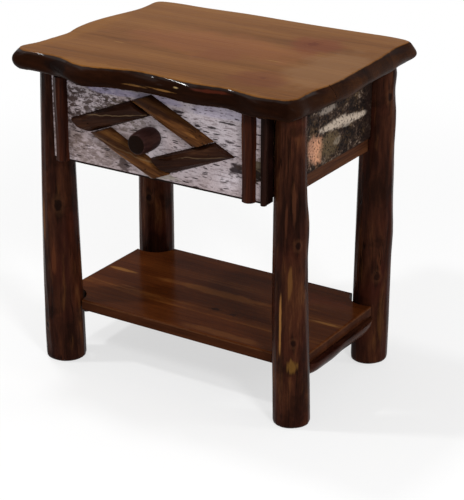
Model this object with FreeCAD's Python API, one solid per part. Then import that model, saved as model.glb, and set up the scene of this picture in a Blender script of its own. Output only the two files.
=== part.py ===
import FreeCAD
import Part
import math
import os

# Rustic end table with one drawer: four peeled log legs, a live-edge top, a low shelf on split logs,
# and a drawer front faced with birch bark. Millimetres, Z up, the front faces -Y, X runs along the width.
# Everything is drawn about the middle of the four legs. The last step moves the whole model so that the
# origin is on the floor under the middle of the overall box.

V = FreeCAD.Vector

# Driving sizes of the table
TABLE_HEIGHT = 660.0
TOP_WIDTH = 648.0
TOP_DEPTH = 488.0
TOP_THICKNESS = 38.0
LEG_SET_IN_X = 58.0
LEG_SET_IN_Y = 83.0
LEG_RADIUS = 38.0
SHELF_TOP_Z = 134.0
SHELF_THICKNESS = 23.0
CASE_HEIGHT = 165.0

# Fits
FIT_GAP = 0.2
SLIDE_GAP = 0.4
OVERRUN = 5.0

# The live edge of the top: how far its upper face is drawn in, and how uneven it is
TOP_EDGE_INSET = 13.0
TOP_EDGE_WAVE = 1.1
TOP_SIDE_BEVEL_SHARE = 1.25
# Height up the edge, and the part of the inset that the outline is drawn in there
TOP_EDGE_SHARES = ((0.0, 0.75), (0.2, 0.15), (0.42, 0.0), (0.68, 0.2), (0.88, 0.6), (1.0, 1.0))
# The widest outline, from the front left corner round by the front, in halves of the width and depth
TOP_OUTLINE_SHARES = (
    (-0.996, -0.905), (-0.966, -0.955), (-0.870, -0.962), (-0.714, -0.958), (-0.620, -0.990),
    (-0.494, -1.052), (-0.408, -1.070), (-0.306, -1.036), (-0.212, -0.990), (-0.071, -0.964),
    (0.078, -0.977), (0.235, -0.992), (0.369, -1.002), (0.533, -0.972), (0.651, -1.000),
    (0.769, -1.031), (0.878, -1.005), (0.945, -0.984), (0.971, -0.938), (0.969, -0.792),
    (0.980, -0.656), (0.996, -0.479), (1.000, -0.271), (0.996, -0.042), (0.980, 0.292),
    (0.965, 0.583), (0.961, 0.854), (0.949, 0.958), (0.902, 0.992), (0.706, 0.995),
    (0.392, 0.990), (0.078, 0.998), (-0.275, 1.000), (-0.627, 0.990), (-0.878, 0.984),
    (-0.933, 0.948), (-0.945, 0.833), (-0.933, 0.625), (-0.957, 0.438), (-0.992, 0.229),
    (-0.998, 0.031), (-0.988, -0.167), (-0.961, -0.354), (-0.965, -0.542), (-0.988, -0.750),
)
# Joints between the glued boards of the top, in halves of its depth, and the boards' names
TOP_JOINT_SHARES = (-0.46, 0.03, 0.52)
TOP_BOARD_NAMES = ("top_board_front", "top_board_centre_front", "top_board_centre_back", "top_board_back")

# Legs: tenons into the top, rounding at the floor, and the bow and ovalness of a grown log
LEG_TENON_RADIUS = 14.0
LEG_TENON_LENGTH = 22.0
LEG_FOOT_ROUND = 7.0
LEG_BOW = 1.6
LEG_OVAL_SHARE = 0.022
LEG_SWELL_ANGLE = 30.0
LEG_SWELL_REACH = 34.0
LEG_SECTIONS = 17
LEG_SECTION_POINTS = 16
LEG_TAPER_POWER = 1.6
# For each leg: its sides along X and Y, girth at the floor and at the top, lean along X at the floor and at
# the top as shares of the radius, the direction of its bow in degrees, and its knot swellings, each as
# height share, direction in degrees and rise as a share of the radius
LEG_SHARES = {
    "leg_front_left": (-1, -1, 1.09, 0.82, -0.09, 0.00, 200.0,
                       ((0.50, -58.0, 0.07), (0.27, 130.0, 0.06), (0.12, -95.0, 0.05))),
    "leg_front_right": (1, -1, 0.955, 0.79, 0.10, -0.19, 205.0,
                        ((0.645, 32.0, 0.10), (0.55, -31.0, 0.06), (0.24, -45.0, 0.05), (0.38, 150.0, 0.07))),
    "leg_back_right": (1, 1, 1.02, 0.85, -0.02, 0.00, 80.0,
                       ((0.83, 34.0, 0.07), (0.46, 20.0, 0.05), (0.28, -37.0, 0.06))),
    "leg_back_left": (-1, 1, 1.07, 0.90, 0.03, 0.18, 310.0,
                      ((0.57, 170.0, 0.07), (0.40, -70.0, 0.05), (0.15, 100.0, 0.06))),
}

# Rails, panels and bark of the drawer case, with the wood left between two housings in one leg
HOUSING_DEPTH = 10.0
CORNER_GAP = 3.0
PANEL_SET_IN = 3.0
PANEL_THICKNESS = 16.0
SIDE_RAIL_THICKNESS = 22.0
SIDE_RAIL_HEIGHT = 38.0
FRONT_RAIL_THICKNESS = 19.0
FRONT_RAIL_WIDTH = 64.0
BARK_THICKNESS = 2.6
# Lower edge of the side bark from front to back: place along it, and how far it hangs over the rail
# as a share of the rail's height
SIDE_BARK_EDGE_SHARES = (
    (0.0, 0.02), (0.07, 0.05), (0.16, -0.03), (0.25, 0.02), (0.37, 0.07), (0.46, 0.01),
    (0.58, 0.09), (0.69, 0.05), (0.78, 0.16), (0.88, 0.22), (0.95, 0.30), (1.0, 0.27),
)

# Runners, guides and cleats inside the case
CLEAT_WIDTH = 50.0
RUNNER_INNER_LAP = 18.0
GUIDE_WIDTH = 20.0
GUIDE_HEIGHT = 20.0
GUIDE_GAP = 0.9
INNER_END_GAP = 5.0
STOP_WIDTH = 44.0
STOP_DEPTH = 18.0
STOP_HEIGHT = 18.0
STOP_REACH = 1.0

# Shelf and the split logs under it
SHELF_PAST_LEG_X = 20.5
SHELF_PAST_LEG_Y = 1.5
SHELF_EDGE_ROUND = 3.5
SHELF_NOTCH_GAP = 4.5
SHELF_JOINT_SHARES = (-0.36, 0.31)
SHELF_BOARD_NAMES = ("shelf_board_front", "shelf_board_centre", "shelf_board_back")
SHELF_RAIL_RADIUS = 38.0
SHELF_RAIL_SET_IN = 4.0
SHELF_RAIL_END_GAP = 1.0
SHELF_TENON_RADIUS = 11.0
SHELF_TENON_DROP = 15.0
SHELF_TENON_LENGTH = 24.0
# Place along a split log and its girth there, drawn in at the ends
SHELF_RAIL_GIRTH_SHARES = (
    (0.0, 0.74), (0.05, 0.90), (0.16, 0.98), (0.34, 1.0), (0.52, 0.96), (0.70, 0.99), (0.86, 1.0),
    (0.95, 0.92), (1.0, 0.76),
)

# Drawer front
DRAWER_FRONT_SET_IN = 26.5
DRAWER_FRONT_THICKNESS = 19.0
DRAWER_FRONT_DROP = 7.5
DRAWER_FRONT_TOP_GAP = 5.0
LEG_LAP_GAP = 3.4
LEG_LAP_SHARE = 0.9

# Drawer box
DRAWER_LEG_GAP = 10.0
DRAWER_SIDE_THICKNESS = 12.0
DRAWER_BACK_ROOM = 19.0
DRAWER_TOP_ROOM = 3.0
DRAWER_BOTTOM_THICKNESS = 6.0
DRAWER_BOTTOM_RISE = 8.0
GROOVE_DEPTH = 6.0
DADO_DEPTH = 8.0

# Split sticks on the drawer front: a diamond of four, two broad uprights and a thin one at the right end
STICK_WIDTH = 38.0
STICK_HEIGHT = 17.0
UPRIGHT_WIDTH = 30.0
UPRIGHT_HEIGHT = 14.5
END_UPRIGHT_WIDTH = 13.4
END_UPRIGHT_HEIGHT = 6.6
END_UPRIGHT_DROP = 2.0
LEFT_UPRIGHT_SET_IN = 22.0
RIGHT_UPRIGHT_SET_IN = 37.3
DIAMOND_SIDE_GAP = 9.5
DIAMOND_EDGE_GAP = 1.5
DIAMOND_TILT = -2.0
DIAMOND_OFFSET = 2.5
# Place along a stick and its girth there, never over 1 so that neighbours stay clear
STICK_GIRTH_SHARES = ((0.0, 0.97), (0.3, 1.0), (0.62, 0.965), (1.0, 0.99))
UPRIGHT_GIRTH_SHARES = ((0.0, 1.0), (0.35, 0.96), (0.7, 1.0), (1.0, 0.97))

# Knob: a log stub that is fullest near its middle
KNOB_LENGTH = 53.0
KNOB_RADIUS = 22.5
# Distance out along the knob, and its radius there
KNOB_PROFILE_SHARES = ((0.0, 0.86), (0.12, 0.95), (0.38, 1.0), (0.66, 0.97), (0.86, 0.90), (0.96, 0.84))
KNOB_FACE_SHARE = 0.70

# Screws and pins
SCREW_RADIUS = 2.1
SCREW_HEAD_RADIUS = 4.3
SCREW_HEAD_THICKNESS = 2.8
TOP_SCREW_LENGTH = 38.0
TOP_SCREW_SET_IN = 17.0
SHELF_SCREW_LENGTH = 40.0
SHELF_SCREW_BITE = 14.0
GUIDE_SCREW_LENGTH = 32.0
RUNNER_SCREW_LENGTH = 45.0
RUNNER_SCREW_BITE = 16.0
STOP_SCREW_LENGTH = 30.0
KNOB_SCREW_LENGTH = 45.0
PIN_RADIUS = 0.8
PIN_SINK = 0.6
PIN_BITE = 10.0
BOX_PIN_LENGTH = 30.0
# Places of fasteners along the length that they hold, from its middle to its ends at -1 and 1
THREE_PLACES_SHARES = (-0.7, 0.0, 0.7)
TWO_PLACES_SHARES = (-0.62, 0.62)

# The legs' middles stand in from the ends of the top
LEG_SPACING_X = TOP_WIDTH - 2 * LEG_SET_IN_X
LEG_SPACING_Y = TOP_DEPTH - 2 * LEG_SET_IN_Y

# Heights worked out from the sizes
UNDERSIDE_Z = TABLE_HEIGHT - TOP_THICKNESS
CASE_BOTTOM_Z = UNDERSIDE_Z - CASE_HEIGHT
RUNNER_TOP_Z = CASE_BOTTOM_Z + FRONT_RAIL_THICKNESS
CLEAT_BOTTOM_Z = UNDERSIDE_Z - FRONT_RAIL_THICKNESS
SIDE_RAIL_TOP_Z = CASE_BOTTOM_Z + SIDE_RAIL_HEIGHT
SHELF_BOTTOM_Z = SHELF_TOP_Z - SHELF_THICKNESS
FRONT_BOTTOM_Z = CASE_BOTTOM_Z - DRAWER_FRONT_DROP
FRONT_TOP_Z = UNDERSIDE_Z - DRAWER_FRONT_TOP_GAP
BOX_BOTTOM_Z = RUNNER_TOP_Z + SLIDE_GAP
BOX_TOP_Z = CLEAT_BOTTOM_Z - DRAWER_TOP_ROOM
DRAWER_FLOOR_Z = BOX_BOTTOM_Z + DRAWER_BOTTOM_RISE + DRAWER_BOTTOM_THICKNESS

# Planes worked out from the sizes
PANEL_FACE_X = LEG_SPACING_X / 2 - PANEL_SET_IN
PANEL_INNER_X = PANEL_FACE_X - PANEL_THICKNESS
SIDE_RAIL_INNER_X = PANEL_FACE_X - SIDE_RAIL_THICKNESS
BACK_FACE_Y = LEG_SPACING_Y / 2 - PANEL_SET_IN
BACK_PANEL_INNER_Y = BACK_FACE_Y - PANEL_THICKNESS
BACK_RAIL_INNER_Y = BACK_FACE_Y - SIDE_RAIL_THICKNESS
LEG_LAP_RADIUS = LEG_RADIUS * LEG_LAP_SHARE
LEG_LAP_REACH = math.sqrt(max(0.0, LEG_LAP_RADIUS ** 2 - DRAWER_FRONT_SET_IN ** 2)) + LEG_LAP_GAP
FRONT_RAIL_FRONT_Y = -LEG_SPACING_Y / 2 - LEG_LAP_REACH
FRONT_RAIL_BACK_Y = FRONT_RAIL_FRONT_Y + FRONT_RAIL_WIDTH
BOARD_BACK_Y = FRONT_RAIL_FRONT_Y - SLIDE_GAP
BOARD_FRONT_Y = BOARD_BACK_Y - DRAWER_FRONT_THICKNESS
BARK_FACE_Y = BOARD_FRONT_Y - BARK_THICKNESS
FRONT_HALF_WIDTH = LEG_SPACING_X / 2 - DRAWER_FRONT_SET_IN
DRAWER_SIDE_X = LEG_SPACING_X / 2 - LEG_RADIUS - DRAWER_LEG_GAP
DRAWER_INNER_X = DRAWER_SIDE_X - DRAWER_SIDE_THICKNESS
DRAWER_BACK_Y = BACK_RAIL_INNER_Y - DRAWER_BACK_ROOM
DRAWER_BACK_INNER_Y = DRAWER_BACK_Y - DRAWER_SIDE_THICKNESS
INNER_BACK_Y = LEG_SPACING_Y / 2 - LEG_RADIUS - INNER_END_GAP
SHELF_RAIL_X = LEG_SPACING_X / 2 - SHELF_RAIL_SET_IN

# The diamond fills the bark between the two broad uprights, and stands a little left of the knob
LEFT_UPRIGHT_X = -FRONT_HALF_WIDTH + LEFT_UPRIGHT_SET_IN
RIGHT_UPRIGHT_X = FRONT_HALF_WIDTH - RIGHT_UPRIGHT_SET_IN
KNOB_X = (LEFT_UPRIGHT_X + RIGHT_UPRIGHT_X) / 2
DIAMOND_X = KNOB_X - DIAMOND_OFFSET
DIAMOND_Z = (FRONT_BOTTOM_Z + FRONT_TOP_Z) / 2
DIAMOND_REACH_X = (RIGHT_UPRIGHT_X - LEFT_UPRIGHT_X - UPRIGHT_WIDTH) / 2 - DIAMOND_SIDE_GAP
DIAMOND_REACH_Z = (FRONT_TOP_Z - FRONT_BOTTOM_Z) / 2 - DIAMOND_EDGE_GAP
DIAMOND_SLOPE = math.degrees(math.atan2(DIAMOND_REACH_Z, DIAMOND_REACH_X))
DIAMOND_OUTER = DIAMOND_REACH_X * math.sin(math.radians(DIAMOND_SLOPE))

# The move that puts the origin under the middle of the overall box
OVERALL_FRONT_Y = BARK_FACE_Y - KNOB_LENGTH
OVERALL_BACK_Y = TOP_DEPTH / 2
TO_ORIGIN = V(0, -(OVERALL_FRONT_Y + OVERALL_BACK_Y) / 2, 0)


# Basic shapes

def block(x, y, z, grow=0.0):
    """A box over three ranges, each given by its two ends in any order."""
    low = V(min(x) - grow, min(y) - grow, min(z) - grow)
    high = V(max(x) + grow, max(y) + grow, max(z) + grow)
    size = high - low
    return Part.makeBox(size.x, size.y, size.z, low)


def to_side(side, inner, outer):
    """A range along X on one side of the table."""
    return (side * inner, side * outer)


def rod(start, end, radius):
    """A round rod from one point to another."""
    run = end - start
    return Part.makeCylinder(radius, run.Length, start, run)


def smooth_ring(points, places):
    """A closed smooth curve through the points, which it passes at the given places from 0 to 1."""
    curve = Part.BSplineCurve()
    curve.interpolate(Points=points, PeriodicFlag=True, Parameters=places)
    return Part.Wire(curve.toShape())


def split_stick(start, end, out, width, height, girth_shares):
    """A stick split along its middle: its flat face runs from start to end and its back swells out."""
    run = end - start
    across = run.cross(out).normalize()
    rings = []
    for place, girth in girth_shares:
        middle = start + run * place
        half = across * (width / 2 * girth)
        crest = middle + out * (height * girth)
        arc = Part.Arc(middle - half, crest, middle + half).toShape()
        flat = Part.LineSegment(middle + half, middle - half).toShape()
        rings.append(Part.Wire([arc, flat]))
    return Part.makeLoft(rings, True, False)


def screw(head, along, length, grow=0.0):
    """A flat-headed screw whose head starts at a point. Grown, it is the hole for that screw."""
    body = rod(head, head + along * (length + grow), SCREW_RADIUS + grow)
    top = rod(head, head + along * (SCREW_HEAD_THICKNESS + grow), SCREW_HEAD_RADIUS + grow)
    return body.fuse(top).removeSplitter()


def drill(shape, cutters):
    """Cut a list of shapes out of one shape."""
    for cutter in cutters:
        shape = shape.cut(cutter)
    return shape


def save(name, shape):
    """Write one node in the row's frame."""
    moved = shape.copy()
    moved.translate(TO_ORIGIN)
    moved.exportStep("parts/" + name + ".step")


# Legs

def leg_axis(name, z):
    """Middle of a leg's log at one height."""
    side_x, side_y, foot, top, foot_lean, top_lean, bow_turn, swellings = LEG_SHARES[name]
    share = z / UNDERSIDE_Z
    bow = LEG_BOW * math.sin(math.pi * share)
    turn = math.radians(bow_turn)
    lean = LEG_RADIUS * (foot_lean + (top_lean - foot_lean) * share)
    x = side_x * LEG_SPACING_X / 2 + lean + bow * math.cos(turn)
    y = side_y * LEG_SPACING_Y / 2 + bow * math.sin(turn)
    return V(x, y, z)


def leg_radius(name, z, turn):
    """Distance from a leg's middle to its surface at one height, in one direction in degrees."""
    side_x, side_y, foot, top, foot_lean, top_lean, bow_turn, swellings = LEG_SHARES[name]
    share = z / UNDERSIDE_Z
    radius = LEG_RADIUS * (foot + (top - foot) * share ** LEG_TAPER_POWER)
    radius *= 1 + LEG_OVAL_SHARE * math.cos(2 * math.radians(turn - bow_turn) + math.pi * share)
    for height_share, swell_turn, rise in swellings:
        away = (turn - swell_turn + 180) % 360 - 180
        climb = z - height_share * UNDERSIDE_Z
        fade = (away / LEG_SWELL_ANGLE) ** 2 + (climb / LEG_SWELL_REACH) ** 2
        radius += rise * LEG_RADIUS * math.exp(-fade)
    return radius


def leg_ring(name, z):
    """A leg's outline at one height."""
    points = []
    for index in range(LEG_SECTION_POINTS):
        turn = 360 * index / LEG_SECTION_POINTS
        reach = leg_radius(name, z, turn)
        way = V(math.cos(math.radians(turn)), math.sin(math.radians(turn)), 0)
        points.append(leg_axis(name, z) + way * reach)
    places = [index / LEG_SECTION_POINTS for index in range(LEG_SECTION_POINTS + 1)]
    return smooth_ring(points, places)


def leg_log(name):
    """The whole log with its rounded foot and the round tenon at its top."""
    heights = [UNDERSIDE_Z * index / (LEG_SECTIONS - 1) for index in range(LEG_SECTIONS)]
    log = Part.makeLoft([leg_ring(name, z) for z in heights], True, False)
    foot_edges = [edge for edge in log.Edges if edge.BoundBox.ZMax < LEG_FOOT_ROUND / 2]
    log = log.makeFillet(LEG_FOOT_ROUND, foot_edges)
    return log.fuse(leg_tenon(name, 0.0)).removeSplitter()


def leg_tenon(name, grow):
    """The tenon that enters the top. Grown, it is the mortise for it."""
    foot = leg_axis(name, UNDERSIDE_Z)
    return rod(foot, foot + V(0, 0, LEG_TENON_LENGTH + grow), LEG_TENON_RADIUS + grow)


def leg_face(name, z, way):
    """Where a leg's surface lies at one height, looking from its middle along X or Y by way."""
    turn = math.degrees(math.atan2(way.y, way.x))
    return leg_axis(name, z) + way * leg_radius(name, z, turn)


# Members that are let into the legs. Each is a box, and each leg is cut to take it.

def along_y_ends(side, z):
    """Ends of a member that runs from the front leg to the back leg on one side."""
    front = "leg_front_left" if side < 0 else "leg_front_right"
    back = "leg_back_left" if side < 0 else "leg_back_right"
    low = leg_face(front, z, V(0, 1, 0)).y - HOUSING_DEPTH
    high = leg_face(back, z, V(0, -1, 0)).y + HOUSING_DEPTH
    return (low, high)


def case_members():
    """Ranges of every rail and panel that is let into the legs."""
    rail_z = (CASE_BOTTOM_Z, SIDE_RAIL_TOP_Z)
    panel_z = (SIDE_RAIL_TOP_Z, UNDERSIDE_Z)
    low_z = (CASE_BOTTOM_Z, RUNNER_TOP_Z)
    high_z = (CLEAT_BOTTOM_Z, UNDERSIDE_Z)
    rail_mid = sum(rail_z) / 2
    panel_mid = sum(panel_z) / 2
    members = {}
    for word, side in (("left", -1), ("right", 1)):
        rail_x = to_side(side, SIDE_RAIL_INNER_X, PANEL_FACE_X)
        panel_x = to_side(side, PANEL_INNER_X, PANEL_FACE_X)
        members["side_rail_" + word] = (rail_x, along_y_ends(side, rail_mid), rail_z)
        members["side_panel_" + word] = (panel_x, along_y_ends(side, panel_mid), panel_z)
    across = (-SIDE_RAIL_INNER_X + CORNER_GAP, SIDE_RAIL_INNER_X - CORNER_GAP)
    front_y = (FRONT_RAIL_FRONT_Y, FRONT_RAIL_BACK_Y)
    members["back_rail"] = (across, (BACK_RAIL_INNER_Y, BACK_FACE_Y), rail_z)
    members["back_panel"] = (across, (BACK_PANEL_INNER_Y, BACK_FACE_Y), panel_z)
    members["front_rail_lower"] = (across, front_y, low_z)
    members["front_rail_upper"] = (across, front_y, high_z)
    return members


def side_bark(side):
    """A rough bark sheet on a side panel, with an uneven lower edge that hangs over the rail."""
    low, high = along_y_ends(side, (SIDE_RAIL_TOP_Z + UNDERSIDE_Z) / 2)
    points = []
    for place, hang in SIDE_BARK_EDGE_SHARES:
        y = low + (high - low) * place
        points.append(V(side * PANEL_FACE_X, y, SIDE_RAIL_TOP_Z - hang * SIDE_RAIL_HEIGHT))
    points.append(V(side * PANEL_FACE_X, high, UNDERSIDE_Z))
    points.append(V(side * PANEL_FACE_X, low, UNDERSIDE_Z))
    face = Part.Face(Part.makePolygon(points + points[:1]))
    return face.extrude(V(side * BARK_THICKNESS, 0, 0))


# Shelf

def shelf_rail_ends(side):
    """Ends of the split log between the legs on one side, at its tenons' height."""
    z = SHELF_BOTTOM_Z - SHELF_TENON_DROP
    front = "leg_front_left" if side < 0 else "leg_front_right"
    back = "leg_back_left" if side < 0 else "leg_back_right"
    low = leg_face(front, z, V(0, 1, 0)).y + SHELF_RAIL_END_GAP
    high = leg_face(back, z, V(0, -1, 0)).y - SHELF_RAIL_END_GAP
    return (low, high)


def shelf_tenon(side, grow):
    """The round tenons of a split log as one rod from leg to leg. Grown, it is the holes for them."""
    low, high = shelf_rail_ends(side)
    z = SHELF_BOTTOM_Z - SHELF_TENON_DROP
    reach = SHELF_TENON_LENGTH + grow
    start = V(side * SHELF_RAIL_X, low - reach, z)
    end = V(side * SHELF_RAIL_X, high + reach, z)
    return rod(start, end, SHELF_TENON_RADIUS + grow)


def shelf_screw_heads(side):
    """Where the screws that hold the shelf start, sunk into the split log from below."""
    low, high = shelf_rail_ends(side)
    z = SHELF_BOTTOM_Z + SHELF_SCREW_BITE - SHELF_SCREW_LENGTH
    middle = (low + high) / 2
    half = (high - low) / 2
    return [V(side * SHELF_RAIL_X, middle + half * place, z) for place in THREE_PLACES_SHARES]


def shelf_rail(side):
    """A split log, flat side up, with round tenons and sunk screw holes."""
    low, high = shelf_rail_ends(side)
    start = V(side * SHELF_RAIL_X, low, SHELF_BOTTOM_Z)
    end = V(side * SHELF_RAIL_X, high, SHELF_BOTTOM_Z)
    log = split_stick(start, end, V(0, 0, -1), 2 * SHELF_RAIL_RADIUS, SHELF_RAIL_RADIUS, SHELF_RAIL_GIRTH_SHARES)
    log = log.fuse(shelf_tenon(side, 0.0)).removeSplitter()
    cutters = []
    for head in shelf_screw_heads(side):
        cutters.append(screw(head, V(0, 0, 1), SHELF_SCREW_LENGTH, FIT_GAP))
        cutters.append(rod(head + V(0, 0, FIT_GAP), head - V(0, 0, SHELF_RAIL_RADIUS), SCREW_HEAD_RADIUS + FIT_GAP))
    return drill(log, cutters)


def shelf_notch(name):
    """The round notch that clears one leg at a corner of the shelf."""
    middle = leg_axis(name, (SHELF_BOTTOM_Z + SHELF_TOP_Z) / 2)
    widest = max(leg_radius(name, middle.z, turn) for turn in range(360))
    foot = V(middle.x, middle.y, SHELF_BOTTOM_Z - OVERRUN)
    return rod(foot, foot + V(0, 0, SHELF_THICKNESS + 2 * OVERRUN), widest + SHELF_NOTCH_GAP)


def shelf_boards():
    """The glued shelf with eased edges, notched round the legs and cut into its boards."""
    half_x = LEG_SPACING_X / 2 + SHELF_PAST_LEG_X
    half_y = LEG_SPACING_Y / 2 + SHELF_PAST_LEG_Y
    slab = block((-half_x, half_x), (-half_y, half_y), (SHELF_BOTTOM_Z, SHELF_TOP_Z))
    flat_edges = [edge for edge in slab.Edges if edge.BoundBox.ZLength < edge.Length / 2]
    slab = slab.makeFillet(SHELF_EDGE_ROUND, flat_edges)
    slab = drill(slab, [shelf_notch(name) for name in LEG_SHARES])
    for side in (-1, 1):
        holes = [screw(head, V(0, 0, 1), SHELF_SCREW_LENGTH, FIT_GAP) for head in shelf_screw_heads(side)]
        slab = drill(slab, holes)
    joints = [share * half_y for share in SHELF_JOINT_SHARES]
    return cut_into_boards(slab, half_x, half_y, joints, (SHELF_BOTTOM_Z, SHELF_TOP_Z))


def cut_into_boards(slab, half_x, half_y, joints, range_z):
    """Cut a slab along X at the joints between its boards, from front to back."""
    marks = [-half_y - OVERRUN] + joints + [half_y + OVERRUN]
    width = (-half_x - OVERRUN, half_x + OVERRUN)
    height = (range_z[0] - OVERRUN, range_z[1] + OVERRUN)
    boards = []
    for front, back in zip(marks, marks[1:]):
        boards.append(slab.common(block(width, (front, back), height)))
    return boards


# Top

def top_ring(height_share, inset_share, level, places):
    """The live edge's outline at one height, drawn in from the widest one."""
    inset = TOP_EDGE_INSET * inset_share
    points = []
    for index, (share_x, share_y) in enumerate(TOP_OUTLINE_SHARES):
        wave = TOP_EDGE_WAVE * math.sin(2.3 * index + 1.9 * level)
        x = share_x * (TOP_WIDTH / 2 - inset * TOP_SIDE_BEVEL_SHARE + wave)
        y = share_y * (TOP_DEPTH / 2 - inset + wave)
        points.append(V(x, y, UNDERSIDE_Z + TOP_THICKNESS * height_share))
    return smooth_ring(points, places)


def outline_places():
    """Places of the outline's points along it, from 0 to 1, by their distances."""
    points = [V(x * TOP_WIDTH, y * TOP_DEPTH, 0) for x, y in TOP_OUTLINE_SHARES]
    points.append(points[0])
    runs = [0.0]
    for here, there in zip(points, points[1:]):
        runs.append(runs[-1] + (there - here).Length)
    return [run / runs[-1] for run in runs]


def top_boards():
    """The live-edge top with mortises and screw holes, cut into its boards."""
    places = outline_places()
    rings = []
    for level, (height_share, inset_share) in enumerate(TOP_EDGE_SHARES):
        rings.append(top_ring(height_share, inset_share, level, places))
    slab = Part.makeLoft(rings, True, False)
    slab = drill(slab, [leg_tenon(name, FIT_GAP) for name in LEG_SHARES])
    slab = drill(slab, [screw(head, V(0, 0, 1), TOP_SCREW_LENGTH, FIT_GAP) for head in top_screw_heads()])
    joints = [share * TOP_DEPTH / 2 for share in TOP_JOINT_SHARES]
    bulge = TOP_DEPTH / 2 + TOP_EDGE_INSET + OVERRUN
    return cut_into_boards(slab, TOP_WIDTH / 2 + OVERRUN, bulge, joints, (UNDERSIDE_Z, TABLE_HEIGHT))


def top_screw_heads():
    """Where the screws that hold the top start: three up through each cleat, two through the rail."""
    heads = []
    middle = (FRONT_RAIL_BACK_Y + INNER_BACK_Y) / 2
    half = (INNER_BACK_Y - FRONT_RAIL_BACK_Y) / 2
    for side in (-1, 1):
        x = side * (PANEL_INNER_X - TOP_SCREW_SET_IN)
        heads += [V(x, middle + half * place, CLEAT_BOTTOM_Z) for place in THREE_PLACES_SHARES]
    rail_y = (FRONT_RAIL_FRONT_Y + FRONT_RAIL_BACK_Y) / 2
    heads += [V(FRONT_HALF_WIDTH * place, rail_y, CLEAT_BOTTOM_Z) for place in TWO_PLACES_SHARES]
    return heads


# Inside the case

def runner_ranges(side):
    """A runner lies against the side rail and behind the lower front rail."""
    x = to_side(side, DRAWER_INNER_X - RUNNER_INNER_LAP + DRAWER_SIDE_THICKNESS, SIDE_RAIL_INNER_X)
    return (x, (FRONT_RAIL_BACK_Y, INNER_BACK_Y), (CASE_BOTTOM_Z, RUNNER_TOP_Z))


def guide_ranges(side):
    """A guide stands on the runner beside the drawer."""
    inner = DRAWER_SIDE_X + GUIDE_GAP
    x = to_side(side, inner, inner + GUIDE_WIDTH)
    return (x, (FRONT_RAIL_BACK_Y, INNER_BACK_Y), (RUNNER_TOP_Z, RUNNER_TOP_Z + GUIDE_HEIGHT))


def cleat_ranges(side):
    """A cleat lies under the top, against the side panel and over the drawer side."""
    x = to_side(side, PANEL_INNER_X - CLEAT_WIDTH, PANEL_INNER_X)
    return (x, (FRONT_RAIL_BACK_Y, INNER_BACK_Y), (CLEAT_BOTTOM_Z, UNDERSIDE_Z))


def guide_screw_heads(side):
    """Where the screws that hold a guide start, flush with its top."""
    x_range, y_range, z_range = guide_ranges(side)
    middle = sum(y_range) / 2
    half = (y_range[1] - y_range[0]) / 2
    return [V(sum(x_range) / 2, middle + half * place, z_range[1]) for place in THREE_PLACES_SHARES]


def runner_screw_heads(side):
    """Where the screws that hold a runner to the side rail start, sunk into the runner's inner edge."""
    x_range, y_range, z_range = runner_ranges(side)
    x = side * (SIDE_RAIL_INNER_X + RUNNER_SCREW_BITE - RUNNER_SCREW_LENGTH)
    middle = sum(y_range) / 2
    half = (y_range[1] - y_range[0]) / 2
    return [V(x, middle + half * place, sum(z_range) / 2) for place in TWO_PLACES_SHARES]


def runner(side):
    """A runner with its guide screws' holes and the sunk holes of its own screws."""
    cutters = [screw(head, V(0, 0, -1), GUIDE_SCREW_LENGTH, FIT_GAP) for head in guide_screw_heads(side)]
    for head in runner_screw_heads(side):
        cutters.append(screw(head, V(side, 0, 0), RUNNER_SCREW_LENGTH, FIT_GAP))
        mouth = head - V(side * CLEAT_WIDTH, 0, 0)
        cutters.append(rod(mouth, head + V(side * FIT_GAP, 0, 0), SCREW_HEAD_RADIUS + FIT_GAP))
    return drill(block(*runner_ranges(side)), cutters)


def stop_ranges():
    """The stop hangs under the upper front rail and catches the drawer's back."""
    y = (FRONT_RAIL_BACK_Y - STOP_DEPTH, FRONT_RAIL_BACK_Y)
    return ((-STOP_WIDTH / 2, STOP_WIDTH / 2), y, (CLEAT_BOTTOM_Z - STOP_HEIGHT, CLEAT_BOTTOM_Z))


def stop_screw(grow=0.0):
    """The one screw that holds the stop, so that the stop can be turned to lift the drawer out."""
    x_range, y_range, z_range = stop_ranges()
    return screw(V(0, sum(y_range) / 2, z_range[0]), V(0, 0, 1), STOP_SCREW_LENGTH, grow)


# Drawer

def drawer_side_ranges(side):
    """A drawer side, let into the back of the drawer front."""
    x = to_side(side, DRAWER_INNER_X, DRAWER_SIDE_X)
    return (x, (BOARD_BACK_Y - DADO_DEPTH, DRAWER_BACK_Y), (BOX_BOTTOM_Z, BOX_TOP_Z))


def drawer_bottom_ranges():
    """The drawer bottom, held in grooves of the front and sides and under the back."""
    reach = DRAWER_INNER_X + GROOVE_DEPTH
    z = (DRAWER_FLOOR_Z - DRAWER_BOTTOM_THICKNESS, DRAWER_FLOOR_Z)
    return ((-reach, reach), (BOARD_BACK_Y - GROOVE_DEPTH, DRAWER_BACK_Y), z)


def drawer_back_ranges():
    """The drawer back, between the sides and on the bottom."""
    x = (-DRAWER_INNER_X, DRAWER_INNER_X)
    return (x, (DRAWER_BACK_INNER_Y, DRAWER_BACK_Y), (DRAWER_FLOOR_Z, BOX_TOP_Z))


def box_pins(grow=0.0):
    """Pins through the drawer sides into the ends of the drawer back."""
    pins = []
    y = (DRAWER_BACK_INNER_Y + DRAWER_BACK_Y) / 2
    middle = (DRAWER_FLOOR_Z + BOX_TOP_Z) / 2
    half = (BOX_TOP_Z - DRAWER_FLOOR_Z) / 2
    for side in (-1, 1):
        for place in THREE_PLACES_SHARES:
            start = V(side * DRAWER_SIDE_X, y, middle + half * place)
            pins.append(rod(start, start - V(side * (BOX_PIN_LENGTH + grow), 0, 0), PIN_RADIUS + grow))
    return pins


def side_normal(turn):
    """Direction across the drawer front, in degrees from +X towards +Z."""
    return V(math.cos(math.radians(turn)), 0, math.sin(math.radians(turn)))


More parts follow.
